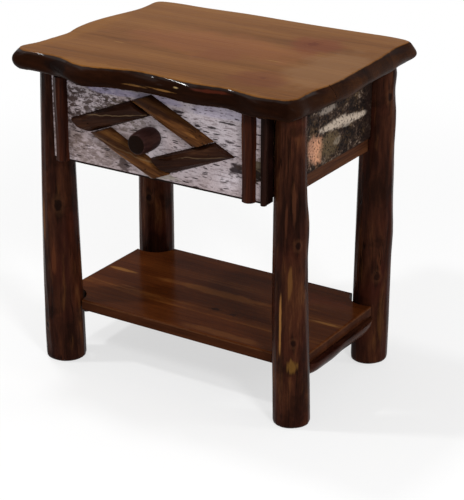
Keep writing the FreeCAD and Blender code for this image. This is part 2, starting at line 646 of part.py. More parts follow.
def meet(first, first_reach, second, second_reach):
    """Where two lines across the drawer front meet, each square to a direction at a reach from the middle."""
    across = first.x * second.z - first.z * second.x
    x = (first_reach * second.z - second_reach * first.z) / across
    z = (second_reach * first.x - first_reach * second.x) / across
    return V(DIAMOND_X + x, BARK_FACE_Y, DIAMOND_Z + z)


# Directions of the four diamond sticks from the middle, going round against the clock
DIAMOND_TURNS = {
    "diamond_upper_right": 90 - DIAMOND_SLOPE + DIAMOND_TILT,
    "diamond_upper_left": 90 + DIAMOND_SLOPE + DIAMOND_TILT,
    "diamond_lower_left": 270 - DIAMOND_SLOPE + DIAMOND_TILT,
    "diamond_lower_right": 270 + DIAMOND_SLOPE + DIAMOND_TILT,
}


def diamond_line(name):
    """Ends of a diamond stick's middle line: at its free end and at its butted end."""
    names = list(DIAMOND_TURNS)
    place = names.index(name)
    own = side_normal(DIAMOND_TURNS[name])
    after = side_normal(DIAMOND_TURNS[names[(place + 1) % len(names)]])
    before = side_normal(DIAMOND_TURNS[names[place - 1]])
    inner = DIAMOND_OUTER - STICK_WIDTH
    middle = DIAMOND_OUTER - STICK_WIDTH / 2
    free = meet(own, middle, after, DIAMOND_OUTER)
    butted = meet(own, middle, before, inner)
    corners = [
        meet(own, DIAMOND_OUTER, after, DIAMOND_OUTER),
        meet(own, DIAMOND_OUTER, before, inner),
        meet(own, inner, before, inner),
        meet(own, inner, after, DIAMOND_OUTER),
    ]
    return free, butted, corners


def diamond_stick(name):
    """A split stick that runs past the next one and butts against the one before."""
    free, butted, corners = diamond_line(name)
    extra = (free - butted).normalize() * STICK_WIDTH
    bar = split_stick(butted - extra, free + extra, V(0, -1, 0), STICK_WIDTH, STICK_HEIGHT, STICK_GIRTH_SHARES)
    prism = Part.Face(Part.makePolygon(corners + corners[:1])).extrude(V(0, -STICK_HEIGHT - OVERRUN, 0))
    return bar.common(prism)


def uprights():
    """Ends of each upright stick's middle line, with its width and height."""
    right_end = FRONT_HALF_WIDTH - END_UPRIGHT_WIDTH / 2
    lines = {}
    for name, x, drop, width, height in (
        ("strip_left", LEFT_UPRIGHT_X, 0.0, UPRIGHT_WIDTH, UPRIGHT_HEIGHT),
        ("strip_right", RIGHT_UPRIGHT_X, 0.0, UPRIGHT_WIDTH, UPRIGHT_HEIGHT),
        ("strip_end", right_end, END_UPRIGHT_DROP, END_UPRIGHT_WIDTH, END_UPRIGHT_HEIGHT),
    ):
        foot = V(x, BARK_FACE_Y, FRONT_BOTTOM_Z - drop)
        lines[name] = (foot, V(x, BARK_FACE_Y, FRONT_TOP_Z), width, height)
    return lines


def stick_pins(start, end, height, grow=0.0):
    """Two pins through a stick and the bark into the drawer front. Grown, they are open holes."""
    middle = (start + end) * 0.5
    half = (end - start) * 0.5
    top = BARK_FACE_Y - height + PIN_SINK
    if grow:
        top -= OVERRUN
    pins = []
    for place in TWO_PLACES_SHARES:
        at = middle + half * place
        deep = BOARD_FRONT_Y + PIN_BITE + grow
        pins.append(rod(V(at.x, top, at.z), V(at.x, deep, at.z), PIN_RADIUS + grow))
    return pins


def knob():
    """A log stub with a slightly domed end-grain face."""
    points = []
    for place, girth in KNOB_PROFILE_SHARES:
        points.append(V(KNOB_RADIUS * girth, -KNOB_LENGTH * place, 0))
    points.append(V(KNOB_RADIUS * KNOB_FACE_SHARE, -KNOB_LENGTH, 0))
    skin = Part.BSplineCurve()
    skin.interpolate(points)
    foot = V(0, 0, 0)
    tip = V(0, -KNOB_LENGTH, 0)
    profile = Part.Wire([
        Part.LineSegment(foot, points[0]).toShape(),
        skin.toShape(),
        Part.LineSegment(points[-1], tip).toShape(),
        Part.LineSegment(tip, foot).toShape(),
    ])
    stub = Part.Face(profile).revolve(foot, V(0, 1, 0), 360)
    stub.translate(V(KNOB_X, BARK_FACE_Y, DIAMOND_Z))
    return stub.cut(knob_screw(FIT_GAP))


def knob_screw(grow=0.0):
    """The screw from inside the drawer front into the knob."""
    head = V(KNOB_X, BOARD_BACK_Y + SCREW_HEAD_THICKNESS, DIAMOND_Z)
    return screw(head, V(0, -1, 0), KNOB_SCREW_LENGTH + SCREW_HEAD_THICKNESS, grow)


def drawer_front(pin_holes):
    """The board that laps over the front legs, with dados, a groove and holes."""
    wide = (-FRONT_HALF_WIDTH, FRONT_HALF_WIDTH)
    board = block(wide, (BOARD_FRONT_Y, BOARD_BACK_Y), (FRONT_BOTTOM_Z, FRONT_TOP_Z))
    cutters = [block(*drawer_side_ranges(side), grow=FIT_GAP) for side in (-1, 1)]
    cutters.append(block(*drawer_bottom_ranges(), grow=FIT_GAP))
    cutters.append(knob_screw(FIT_GAP))
    return drill(board, cutters + pin_holes)


def drawer_bark(pin_holes):
    """The birch bark sheet on the drawer front."""
    wide = (-FRONT_HALF_WIDTH, FRONT_HALF_WIDTH)
    sheet = block(wide, (BARK_FACE_Y, BOARD_FRONT_Y), (FRONT_BOTTOM_Z, FRONT_TOP_Z))
    return drill(sheet, [knob_screw(FIT_GAP)] + pin_holes)


def build_frame():
    """Write every piece that stands still."""
    members = case_members()
    barks = {"side_bark_left": side_bark(-1), "side_bark_right": side_bark(1)}
    seats = [block(*ranges, grow=FIT_GAP) for ranges in members.values()]
    for side, word in ((-1, "left"), (1, "right")):
        skin_x = to_side(side, PANEL_FACE_X, PANEL_FACE_X + BARK_THICKNESS)
        rail_x, ends, rail_z = members["side_panel_" + word]
        lowest = min(-hang for place, hang in SIDE_BARK_EDGE_SHARES) * SIDE_RAIL_HEIGHT + SIDE_RAIL_TOP_Z
        seats.append(block(skin_x, ends, (lowest, UNDERSIDE_Z), grow=FIT_GAP))
        seats.append(shelf_tenon(side, FIT_GAP))
    for name in LEG_SHARES:
        save(name, drill(leg_log(name), seats))

    top_holes = [screw(head, V(0, 0, 1), TOP_SCREW_LENGTH, FIT_GAP) for head in top_screw_heads()]
    for name, ranges in members.items():
        piece = block(*ranges)
        if name == "front_rail_upper":
            piece = drill(piece, top_holes + [stop_screw(FIT_GAP)])
        if name.startswith("side_rail"):
            side = -1 if name.endswith("left") else 1
            holes = [screw(head, V(side, 0, 0), RUNNER_SCREW_LENGTH, FIT_GAP) for head in runner_screw_heads(side)]
            piece = drill(piece, holes)
        save(name, piece)
    for name, sheet in barks.items():
        save(name, sheet)
    for name, board in zip(TOP_BOARD_NAMES, top_boards()):
        save(name, board)
    for name, board in zip(SHELF_BOARD_NAMES, shelf_boards()):
        save(name, board)

    guide_screws = []
    runner_screws = []
    shelf_screws = []
    for side, word in ((-1, "left"), (1, "right")):
        save("shelf_rail_" + word, shelf_rail(side))
        save("drawer_runner_" + word, runner(side))
        guide_holes = [screw(head, V(0, 0, -1), GUIDE_SCREW_LENGTH, FIT_GAP) for head in guide_screw_heads(side)]
        save("drawer_guide_" + word, drill(block(*guide_ranges(side)), guide_holes))
        save("top_cleat_" + word, drill(block(*cleat_ranges(side)), top_holes))
        guide_screws += [screw(head, V(0, 0, -1), GUIDE_SCREW_LENGTH) for head in guide_screw_heads(side)]
        runner_screws += [screw(head, V(side, 0, 0), RUNNER_SCREW_LENGTH) for head in runner_screw_heads(side)]
        shelf_screws += [screw(head, V(0, 0, 1), SHELF_SCREW_LENGTH) for head in shelf_screw_heads(side)]
    save("guide_screws", Part.makeCompound(guide_screws))
    save("runner_screws", Part.makeCompound(runner_screws))
    save("shelf_screws", Part.makeCompound(shelf_screws))
    top_screws = [screw(head, V(0, 0, 1), TOP_SCREW_LENGTH) for head in top_screw_heads()]
    save("top_screws", Part.makeCompound(top_screws))
    save("drawer_stop", block(*stop_ranges()).cut(stop_screw(FIT_GAP)))
    save("stop_screw", stop_screw())


def build_drawer():
    """Write every piece that slides out."""
    sticks = {}
    pins = []
    pin_holes = []
    for name in DIAMOND_TURNS:
        free, butted, corners = diamond_line(name)
        sticks[name] = (diamond_stick(name), free, butted, STICK_HEIGHT)
    for name, (foot, head, width, height) in uprights().items():
        stick = split_stick(foot, head, V(0, -1, 0), width, height, UPRIGHT_GIRTH_SHARES)
        sticks[name] = (stick, foot, head, height)
    for name, (stick, start, end, height) in sticks.items():
        holes = stick_pins(start, end, height, FIT_GAP)
        pins += stick_pins(start, end, height)
        pin_holes += holes
        save(name, drill(stick, holes))
    save("stick_pins", Part.makeCompound(pins))
    save("drawer_front", drawer_front(pin_holes))
    save("drawer_bark", drawer_bark(pin_holes))
    save("drawer_knob", knob())
    save("knob_screw", knob_screw())
    back_holes = box_pins(FIT_GAP)
    groove = block(*drawer_bottom_ranges(), grow=FIT_GAP)
    for side, word in ((-1, "left"), (1, "right")):
        save("drawer_side_" + word, drill(block(*drawer_side_ranges(side)), [groove] + back_holes))
    save("drawer_back", drill(block(*drawer_back_ranges()), back_holes))
    save("drawer_bottom", block(*drawer_bottom_ranges()))
    save("drawer_box_pins", Part.makeCompound(box_pins()))


os.makedirs("parts", exist_ok=True)
build_frame()
build_drawer()
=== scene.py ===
# %% [markdown]
# # A rustic log end table
#
# The table has four peeled log legs, a live-edge top, a low shelf and one drawer faced with birch bark.
# The solid parts come in ready made, at their true size and place. This lesson gives them their finish,
# carves the logs, the live edge and the bark, and sets up the light and the camera.

# %% Load the solid model
import bpy
import math
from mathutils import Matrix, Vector, kdtree, noise


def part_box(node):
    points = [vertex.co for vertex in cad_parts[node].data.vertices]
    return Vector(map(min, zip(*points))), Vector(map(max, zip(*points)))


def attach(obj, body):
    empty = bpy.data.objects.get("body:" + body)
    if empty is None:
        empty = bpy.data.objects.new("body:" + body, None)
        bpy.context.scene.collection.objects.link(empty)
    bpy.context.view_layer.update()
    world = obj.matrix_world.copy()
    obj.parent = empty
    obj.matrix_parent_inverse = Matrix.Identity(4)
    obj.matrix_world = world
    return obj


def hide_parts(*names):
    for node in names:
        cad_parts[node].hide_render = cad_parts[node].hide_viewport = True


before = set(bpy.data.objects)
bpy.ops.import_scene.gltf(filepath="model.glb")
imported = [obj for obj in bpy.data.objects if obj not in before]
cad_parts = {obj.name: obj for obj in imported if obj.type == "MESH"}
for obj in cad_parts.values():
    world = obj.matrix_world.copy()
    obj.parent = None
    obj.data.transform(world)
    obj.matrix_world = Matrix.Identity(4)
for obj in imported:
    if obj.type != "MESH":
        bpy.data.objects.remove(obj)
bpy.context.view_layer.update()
bpy.ops.object.select_all(action="DESELECT")
print("solid pieces:", len(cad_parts))

# %% [markdown]
# ## Camera
#
# The picture is taken from the right of the front and from above, with a long lens. The place and the
# lens come from matching the corners of the top, the legs and the shelf to the photograph.

# %% Camera at the photograph's angle
CAMERA_PLACE = Vector((1.6300, -2.5047, 1.4892))
CAMERA_AIM = Vector((0.0338, 0.0085, 0.2435))
LENS = 116.3

camera_data = bpy.data.cameras.new("photo_camera")
camera_data.sensor_fit = "VERTICAL"
camera_data.sensor_height = 36
camera_data.lens = LENS
camera = bpy.data.objects.new("photo_camera", camera_data)
bpy.context.collection.objects.link(camera)
camera.location = CAMERA_PLACE
camera.rotation_euler = (CAMERA_AIM - CAMERA_PLACE).to_track_quat("-Z", "Y").to_euler()
bpy.context.scene.camera = camera
print("camera distance:", round((CAMERA_AIM - CAMERA_PLACE).length, 3))

# %% [markdown]
# ## Helpers for node trees
#
# Colours are noted as read off a screen, from 0 to 255, and turned into the linear values that a shader
# works with. Small functions add a node, do one sum, make a mask, and lay one colour over another.

# %% Node tree helpers
def tone(red, green, blue):
    """A colour as seen on a screen, as a shader's linear colour."""
    def linear(value):
        value = value / 255
        return value / 12.92 if value <= 0.04045 else ((value + 0.055) / 1.055) ** 2.4
    return (linear(red), linear(green), linear(blue), 1.0)


def feed(tree, socket, value):
    """Link a node's output to a socket, or set a plain value on it."""
    if isinstance(value, bpy.types.NodeSocket):
        tree.links.new(value, socket)
    else:
        socket.default_value = value


def put(tree, kind, inputs=None, **settings):
    """Add a node with its inputs."""
    made = tree.nodes.new(kind)
    for key, value in settings.items():
        setattr(made, key, value)
    for key, value in (inputs or {}).items():
        feed(tree, made.inputs[key], value)
    return made


def calc(tree, operation, first, second=0.0, third=0.0):
    """One step of arithmetic."""
    return put(tree, "ShaderNodeMath", {0: first, 1: second, 2: third}, operation=operation).outputs[0]


def times(tree, first, second):
    """The product of two values."""
    return calc(tree, "MULTIPLY", first, second)


def scaled(tree, value, scale, shift):
    """A value times a scale, plus a shift."""
    return calc(tree, "MULTIPLY_ADD", value, scale, shift)


def flip(tree, mask):
    """1 where a mask is 0, and 0 where it is 1."""
    return calc(tree, "SUBTRACT", 1.0, mask)


def vector_calc(tree, operation, first, second):
    """One step of arithmetic with vectors."""
    return put(tree, "ShaderNodeVectorMath", {0: first, 1: second}, operation=operation).outputs[0]


def vector_times(tree, first, second):
    """The product of two vectors, axis by axis."""
    return vector_calc(tree, "MULTIPLY", first, second)


def parts_of(tree, vector):
    """The three parts of a vector."""
    return put(tree, "ShaderNodeSeparateXYZ", {0: vector}).outputs


def facing(tree):
    """The three parts of the direction that a surface faces."""
    return parts_of(tree, tree.nodes.new("ShaderNodeNewGeometry").outputs["Normal"])


def length_of(tree, vector):
    """How long a vector is."""
    return put(tree, "ShaderNodeVectorMath", {0: vector}, operation="LENGTH").outputs["Value"]


def step_up(tree, value, low, high):
    """A mask that goes softly from 0 to 1 as the value goes from low to high."""
    made = put(tree, "ShaderNodeMapRange", {0: value, 1: low, 2: high, 3: 0.0, 4: 1.0})
    made.interpolation_type = "SMOOTHSTEP"
    return made.outputs[0]


def cloud(tree, vector, scale, detail=3.0, roughness=0.5):
    """A noise value round one half."""
    return put(tree, "ShaderNodeTexNoise", {"Vector": vector, "Scale": scale, "Detail": detail,
                                            "Roughness": roughness}).outputs[0]


def over(tree, share, under, paint, strength=None):
    """Lay one colour over another by a share, which a strength can weaken."""
    if strength is not None:
        share = times(tree, share, strength)
    if isinstance(paint, tuple):
        paint = tone(*paint)
    made = tree.nodes.new("ShaderNodeMix")
    made.data_type = "RGBA"
    for socket, value in ((made.inputs[0], share), (made.inputs[6], under), (made.inputs[7], paint)):
        feed(tree, socket, value)
    return made.outputs[2]


def colour_steps(tree, value, steps):
    """Turn a value into a colour by steps of (place, (red, green, blue))."""
    made = put(tree, "ShaderNodeValToRGB", {0: value})
    ramp = made.color_ramp
    while len(ramp.elements) < len(steps):
        ramp.elements.new(0.5)
    for element, (place, colour) in zip(ramp.elements, steps):
        element.position = place
        element.color = tone(*colour)
    return made.outputs[0]


def object_place(tree):
    """The place on the piece, in metres."""
    return tree.nodes.new("ShaderNodeTexCoord").outputs["Object"]


def grain_place(tree, turn=(0, 0, 0), shift=(0, 0, 0)):
    """The place on the piece, moved and then turned so that the grain runs along Z."""
    moved = vector_calc(tree, "SUBTRACT", object_place(tree), shift)
    return put(tree, "ShaderNodeMapping", {"Vector": moved, "Rotation": turn}).outputs[0]


# %% [markdown]
# ## Light and floor
#
# Varnished dark wood shows whatever surrounds it, so the varnish mirrors only a little. The world lights
# the table at a plain level, and a few small lamps make the long highlights along the logs and the edges.
# Camera, mirror and glass rays see the surroundings as white, through Light Path. Near the table the
# floor keeps a share of its own light, so that its shadow stays.

# %% World, lamps and floor
def aimed_lamp(name, place, aim, size, power):
    """Add a square soft lamp that points at a place."""
    data = bpy.data.lights.new(name, "AREA")
    data.shape = "SQUARE"
    data.size = size
    data.energy = power
    lamp = bpy.data.objects.new(name, data)
    bpy.context.collection.objects.link(lamp)
    lamp.location = place
    lamp.rotation_euler = (Vector(aim) - Vector(place)).to_track_quat("-Z", "Y").to_euler()


def seen_directly(tree):
    """1 for camera, mirror and glass rays, and 0 for light on its way to a surface."""
    path = tree.nodes.new("ShaderNodeLightPath").outputs
    first = calc(tree, "MAXIMUM", path["Is Camera Ray"], path["Is Glossy Ray"])
    return calc(tree, "MAXIMUM", first, path["Is Transmission Ray"])


WORLD_LEVEL = 0.42
world = bpy.data.worlds.new("studio")
world.use_nodes = True
background = world.node_tree.nodes["Background"]
background.inputs["Color"].default_value = (1, 1, 1, 1)
level = scaled(world.node_tree, seen_directly(world.node_tree), 1 - WORLD_LEVEL, WORLD_LEVEL)
feed(world.node_tree, background.inputs["Strength"], level)
bpy.context.scene.world = world
bpy.context.scene.view_settings.view_transform = "Standard"

MIDDLE = (0, 0, 0.4)
aimed_lamp("key_right", (2.7, -1.9, 2.3), MIDDLE, 0.6, 54)
aimed_lamp("front_left", (-2.05, -1.35, 3.1), MIDDLE, 0.28, 44)
aimed_lamp("right_back", (3.2, 1.2, 1.5), MIDDLE, 0.6, 22)
aimed_lamp("overhead", (-0.9, 0.2, 3.5), MIDDLE, 0.36, 28)

NEAR_GLOW = 0.62
FADE_START, FADE_END = 0.8, 2.0
bpy.ops.mesh.primitive_plane_add(size=24, location=(0, 0, 0))
floor = bpy.context.object
floor.name = "studio_floor"
floor_material = bpy.data.materials.new("pale_floor")
floor_material.use_nodes = True
floor_tree = floor_material.node_tree
floor_shader = floor_tree.nodes["Principled BSDF"]
floor_shader.inputs["Base Color"].default_value = (0.94, 0.94, 0.94, 1)
floor_shader.inputs["Roughness"].default_value = 0.9
floor_shader.inputs["Specular IOR Level"].default_value = 0.1
far = step_up(floor_tree, length_of(floor_tree, object_place(floor_tree)), FADE_START, FADE_END)
glow = times(floor_tree, seen_directly(floor_tree), scaled(floor_tree, far, 1 - NEAR_GLOW, NEAR_GLOW))
white = put(floor_tree, "ShaderNodeEmission", {"Color": (1, 1, 1, 1), "Strength": 1.0})
mixed = put(floor_tree, "ShaderNodeMixShader", {0: glow, 1: floor_shader.outputs[0], 2: white.outputs[0]})
floor_tree.links.new(mixed.outputs[0], floor_tree.nodes["Material Output"].inputs["Surface"])
floor.data.materials.append(floor_material)
bpy.ops.object.select_all(action="DESELECT")

# %% [markdown]
# A node group is made once and placed in every material that needs it. Its sockets carry the names that
# a woodworker would use, and it puts out masks only, so that each material keeps its own colours.

# %% Node group helpers
FLOAT, VECTOR = "NodeSocketFloat", "NodeSocketVector"


def new_group(name, inputs, outputs):
    """Start a node group with named inputs and outputs."""
    tree = bpy.data.node_groups.new(name, "ShaderNodeTree")
    for label, kind, value in inputs:
        socket = tree.interface.new_socket(label, in_out="INPUT", socket_type=kind)
        if value is not None:
            socket.default_value = value
    for label in outputs:
        tree.interface.new_socket(label, in_out="OUTPUT", socket_type=FLOAT)
    return tree, tree.nodes.new("NodeGroupInput").outputs, tree.nodes.new("NodeGroupOutput").inputs


def use_group(tree, name, **inputs):
    """Place a node group in a material and return its outputs."""
    made = tree.nodes.new("ShaderNodeGroup")
    made.node_tree = bpy.data.node_groups[name]
    for key, value in inputs.items():
        feed(tree, made.inputs[key], value)
    return made.outputs


def soft_patch(tree, at, centre, size, **more):
    """The mask of a soft patch at a place."""
    return use_group(tree, "soft_patch", Vector=at, Centre=centre, Size=size, **more)["Mask"]


def sizes_away(tree, given):
    """How far a place is from a group's centre, counted in the group's size."""
    away = vector_calc(tree, "SUBTRACT", given["Vector"], given["Centre"])
    return length_of(tree, vector_calc(tree, "DIVIDE", away, given["Size"]))


# %% [markdown]
# ## Grain
#
# Wood grain is one noise seen at three scales, pulled out long along the trunk: broad bands of
# heartwood and sapwood, fibres, and hair lines. Its grain runs along Z, and every wooden finish turns
# its own coordinates so that Z follows the wood.

# %% Group: long grain
def build_long_grain():
    """Bands and fibres of wood, with the grain along Z."""
    tree, given, result = new_group("long_grain", [
        ("Vector", VECTOR, None), ("Band", FLOAT, 26.0), ("Fibre", FLOAT, 170.0), ("Stretch", FLOAT, 0.06),
        ("Waver", FLOAT, 0.012)], ["Tone", "Fibre"])
    sway = put(tree, "ShaderNodeTexNoise", {"Vector": given["Vector"], "Scale": 5.0}).outputs["Color"]
    centred = vector_calc(tree, "SUBTRACT", sway, (0.5, 0.5, 0.5))
    swung = put(tree, "ShaderNodeVectorMath", {0: centred, "Scale": given["Waver"]}, operation="SCALE")
    moved = vector_calc(tree, "ADD", given["Vector"], swung.outputs[0])
    pull = put(tree, "ShaderNodeCombineXYZ", {0: 1.0, 1: 1.0, 2: given["Stretch"]}).outputs[0]
    long = vector_times(tree, moved, pull)
    band = cloud(tree, long, given["Band"])
    fibre = cloud(tree, long, given["Fibre"], 3.0, 0.6)
    hair = cloud(tree, long, times(tree, given["Fibre"], 5.0), 2.0)
    fine = scaled(tree, fibre, 0.28, times(tree, hair, 0.10))
    feed(tree, result["Tone"], scaled(tree, band, 0.62, fine))
    feed(tree, result["Fibre"], fibre)


build_long_grain()

# %% [markdown]
# Knots are where branches left the trunk: a dark eye with rings round it and a paler rim. Soft patches
# are ragged ovals that say where something is, such as sapwood, a flake or a stain. Both take a place
# and a size, so that each board and log carries its own marks where the photograph shows them.

# %% Groups: knot and soft patch
def build_knot():
    """A knot's eye, rim and rings at a place."""
    tree, given, result = new_group("knot", [
        ("Vector", VECTOR, None), ("Centre", VECTOR, None), ("Size", VECTOR, (0.01, 0.01, 0.01))],
        ["Eye", "Rim", "Rings"])
    ragged = scaled(tree, cloud(tree, given["Vector"], 110.0), 1.0, -0.5)
    share = calc(tree, "ADD", sizes_away(tree, given), ragged)
    inside = flip(tree, step_up(tree, share, 1.0, 1.9))
    wave = scaled(tree, calc(tree, "SINE", times(tree, share, 12.0)), 0.5, 0.5)
    feed(tree, result["Eye"], flip(tree, step_up(tree, share, 0.45, 1.0)))
    feed(tree, result["Rim"], times(tree, inside, step_up(tree, share, 0.6, 1.0)))
    feed(tree, result["Rings"], times(tree, wave, inside))


def build_soft_patch():
    """A ragged oval at a place."""
    tree, given, result = new_group("soft_patch", [
        ("Vector", VECTOR, None), ("Centre", VECTOR, None), ("Size", VECTOR, (0.01, 0.01, 0.01)),
        ("Ragged", FLOAT, 0.5), ("Scale", FLOAT, 60.0), ("Pull", VECTOR, (1.0, 1.0, 1.0))], ["Mask"])
    pulled = vector_times(tree, given["Vector"], given["Pull"])
    stray = calc(tree, "SUBTRACT", cloud(tree, pulled, given["Scale"], 4.0), 0.5)
    share = scaled(tree, stray, times(tree, given["Ragged"], 2.0), sizes_away(tree, given))
    feed(tree, result["Mask"], flip(tree, step_up(tree, share, 0.5, 1.0)))


build_knot()
build_soft_patch()

# %% [markdown]
# Logs split a little as they dry. These checks are thin dark lines along the grain, only here and
# there. A line is where a stretched noise passes its middle value.

# %% Group: drying checks
def build_checks():
    """Thin dark lines along Z, only here and there."""
    tree, given, result = new_group("drying_checks", [
        ("Vector", VECTOR, None), ("Spacing", FLOAT, 55.0), ("Width", FLOAT, 0.012), ("Amount", FLOAT, 0.5)],
        ["Line"])
    long = vector_times(tree, given["Vector"], (1.0, 1.0, 0.045))
    off = calc(tree, "ABSOLUTE", calc(tree, "SUBTRACT", cloud(tree, long, given["Spacing"], 2.0), 0.5))
    line = flip(tree, step_up(tree, calc(tree, "DIVIDE", off, given["Width"]), 0.3, 1.0))
    where = cloud(tree, given["Vector"], 13.0, 1.0)
    where = calc(tree, "ADD", where, calc(tree, "SUBTRACT", given["Amount"], 1.0))
    feed(tree, result["Line"], times(tree, line, step_up(tree, where, 0.0, 0.08)))


build_checks()

# %% [markdown]
# Growth rings show on sawn ends and as long arches on boards. They are circles round the pith, the
# middle of the trunk, which lies along Z where the board's own shift puts the zero point.

# %% Group: growth rings
def build_rings():
    """Growth rings round Z."""
    tree, given, result = new_group("growth_rings", [
        ("Vector", VECTOR, None), ("Ring", FLOAT, 0.0035), ("Wander", FLOAT, 0.006)], ["Ring", "Fine"])
    long = vector_times(tree, given["Vector"], (1.0, 1.0, 0.16))
    stray = calc(tree, "SUBTRACT", cloud(tree, long, 14.0), 0.5)
    reach = length_of(tree, vector_times(tree, given["Vector"], (1.0, 1.0, 0.0)))
    moved = scaled(tree, stray, times(tree, given["Wander"], 2.0), reach)
    part = calc(tree, "FRACT", calc(tree, "DIVIDE", moved, given["Ring"]))
    fall = flip(tree, step_up(tree, part, 0.9, 1.0))
    feed(tree, result["Ring"], times(tree, calc(tree, "POWER", part, 2.6), fall))
    feed(tree, result["Fine"], cloud(tree, long, 420.0, 2.0))


build_rings()
print("node groups:", [group.name for group in bpy.data.node_groups])

# %% [markdown]
# ## Varnish
#
# Every wooden finish has the same build: colour, roughness that follows the fibres, and a bump. The
# plain values, such as how strongly the varnish mirrors, are set on the shader's own sockets.

# %% Start of a finish
def start_finish(name, gloss, coat_roughness=0.1):
    """A material with a Principled shader and its plain values."""
    material = bpy.data.materials.new(name)
    material.use_nodes = True
    tree = material.node_tree
    shader = tree.nodes["Principled BSDF"]
    shader.inputs["Coat Roughness"].default_value = coat_roughness
    shader.inputs["Specular IOR Level"].default_value = gloss
    return material, tree, shader


def end_finish(tree, shader, colour, rough, low, high, height, depth):
    """Join colour, roughness between two values, and a bump with its depth in metres."""
    feed(tree, shader.inputs["Base Color"], colour)
    feed(tree, shader.inputs["Roughness"], scaled(tree, rough, high - low, low))
    bump = put(tree, "ShaderNodeBump", {"Height": height, "Distance": depth, "Strength": 1.0})
    feed(tree, shader.inputs["Normal"], bump.outputs[0])


def wear(material, *nodes):
    """Give a finish to solid pieces by their names."""
    for node in nodes:
        for material_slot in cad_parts[node].material_slots:
            material_slot.material = material


# %% [markdown]
# ## Hand tools for meshes
#
# A peeled log or a live edge is not smooth. Each starts as a copy of its solid piece with the doubled
# points merged. A Remesh modifier gives it an even skin, and a rule then pushes every point inwards, so
# that no log, stick or edge grows past its solid. Sculpting by hand could not be repeated.

# %% Mesh helpers
MERGE_GAP = 0.00001
SMOOTH_ANGLE = math.radians(50)


def pick(piece):
    """Make one object the only selected and active one."""
    bpy.ops.object.select_all(action="DESELECT")
    piece.select_set(True)
    bpy.context.view_layer.objects.active = piece


def use_modifier(piece, kind, **settings):
    """Add a modifier, set it and apply it."""
    pick(piece)
    modifier = piece.modifiers.new("step", kind)
    for key, value in settings.items():
        setattr(modifier, key, value)
    bpy.ops.object.modifier_apply(modifier=modifier.name)


def merged_copy(name, node):
    """A new object that starts as a merged copy of a solid piece."""
    piece = bpy.data.objects.new(name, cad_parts[node].data.copy())
    bpy.context.collection.objects.link(piece)
    pick(piece)
    bpy.ops.object.mode_set(mode="EDIT")
    bpy.ops.mesh.select_all(action="SELECT")
    bpy.ops.mesh.remove_doubles(threshold=MERGE_GAP)
    bpy.ops.object.mode_set(mode="OBJECT")
    return piece


def carve(piece, rule):
    """Move every point by the vector that a rule gives for its place and normal."""
    normals = [vertex.normal.copy() for vertex in piece.data.vertices]
    for vertex, normal in zip(piece.data.vertices, normals):
        vertex.co += rule(vertex.co, normal)
    piece.data.update()


def stand_in(piece, material, slot, body, *nodes):
    """Finish a piece: its material, its place among the moving bodies, and the solids it stands for."""
    piece.data.materials.clear()
    piece.data.materials.append(material)
    pick(piece)
    bpy.ops.object.shade_smooth_by_angle(angle=SMOOTH_ANGLE)
    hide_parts(*nodes)
    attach(piece, body)
    print(piece.name, "faces:", len(piece.data.polygons))


def bump_noise(place, across, along, axis=2):
    """Noise with one scale across the grain and another along it, from -1 to 1."""
    point = Vector(place) * across
    point[axis] = place[axis] * along
    return noise.noise(point)


def noise_at(x, y, z):
    """Noise at a place, from -1 to 1."""
    return noise.noise(Vector((x, y, z)))


def swell(x, y, z):
    """Noise at a place, from 0 to 1."""
    return 0.5 + 0.5 * noise_at(x, y, z)


def bell(distance):
    """1 in the middle, falling softly to 0 at a distance of 1."""
    return (1 - distance * distance) ** 2 if distance < 1 else 0.0


# %% [markdown]
# ## Peeled logs
#
# The legs are logs peeled with a drawknife: dark reddish brown, with golden streaks where the knife went
# deeper. The knife leaves long shallow flats. Branch stubs are cut flush and stand up a
# little, with a hollow in the middle. Each knot is given as a share of the leg's height, a direction
# round it in degrees, and its half width and half height in metres.

# %% Where the knots are
LEG_KNOTS = {
    "leg_front_left": [(0.535, -56, 0.009, 0.015), (0.27, 130, 0.009, 0.010), (0.12, -110, 0.007, 0.009)],
    "leg_front_right": [(0.578, -35, 0.007, 0.009), (0.277, -49, 0.007, 0.008), (0.645, 32, 0.009, 0.012),
                        (0.38, 150, 0.009, 0.011)],
    "leg_back_right": [(0.88, -34, 0.007, 0.011), (0.304, -45, 0.008, 0.010), (0.83, 34, 0.008, 0.009)],
    "leg_back_left": [(0.57, 170, 0.008, 0.010), (0.40, -75, 0.008, 0.010), (0.15, 100, 0.007, 0.008)],
}


def skin_point(node, share, degrees):
    """The point on a leg's skin at a share of its height, in a direction round it."""
    lowest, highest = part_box(node)
    height = lowest.z + share * (highest.z - lowest.z)
    heading = Vector((math.cos(math.radians(degrees)), math.sin(math.radians(degrees)), 0))
    side = Vector((-heading.y, heading.x, 0))
    places = [vertex.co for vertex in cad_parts[node].data.vertices]
    level = [place for place in places if abs(place.z - height) < 0.02]
    centre = sum(level, Vector()) / len(level)
    near = [place for place in level if (place - centre).dot(heading) > 0]
    best = min(near, key=lambda place: abs((place - centre).dot(side)) + abs(place.z - height))
    return Vector((best.x, best.y, height))


knot_places = {}
for leg, knots in LEG_KNOTS.items():
    knot_places[leg] = [(skin_point(leg, share, degrees), wide, tall) for share, degrees, wide, tall in knots]
    print(leg, [tuple(round(value, 3) for value in place) for place, wide, tall in knot_places[leg]])


# %% Carving of a log
LOG_SKIN = 0.0024
FLAT_DEPTH = 0.0009
KNOT_LIFT = 0.0005
KNOT_DENT = 0.0011
KNOT_REACH = 2.2
KNOT_HOLLOW = 0.7
END_FACE = 0.75
FLATS_ROUND = 13


def facet(turn, flats):
    """How far a round section is cut back at an angle when it is cut to a number of flats, as a share."""
    half = math.pi / flats
    return 1 - math.cos(half) / math.cos(turn % (2 * half) - half)


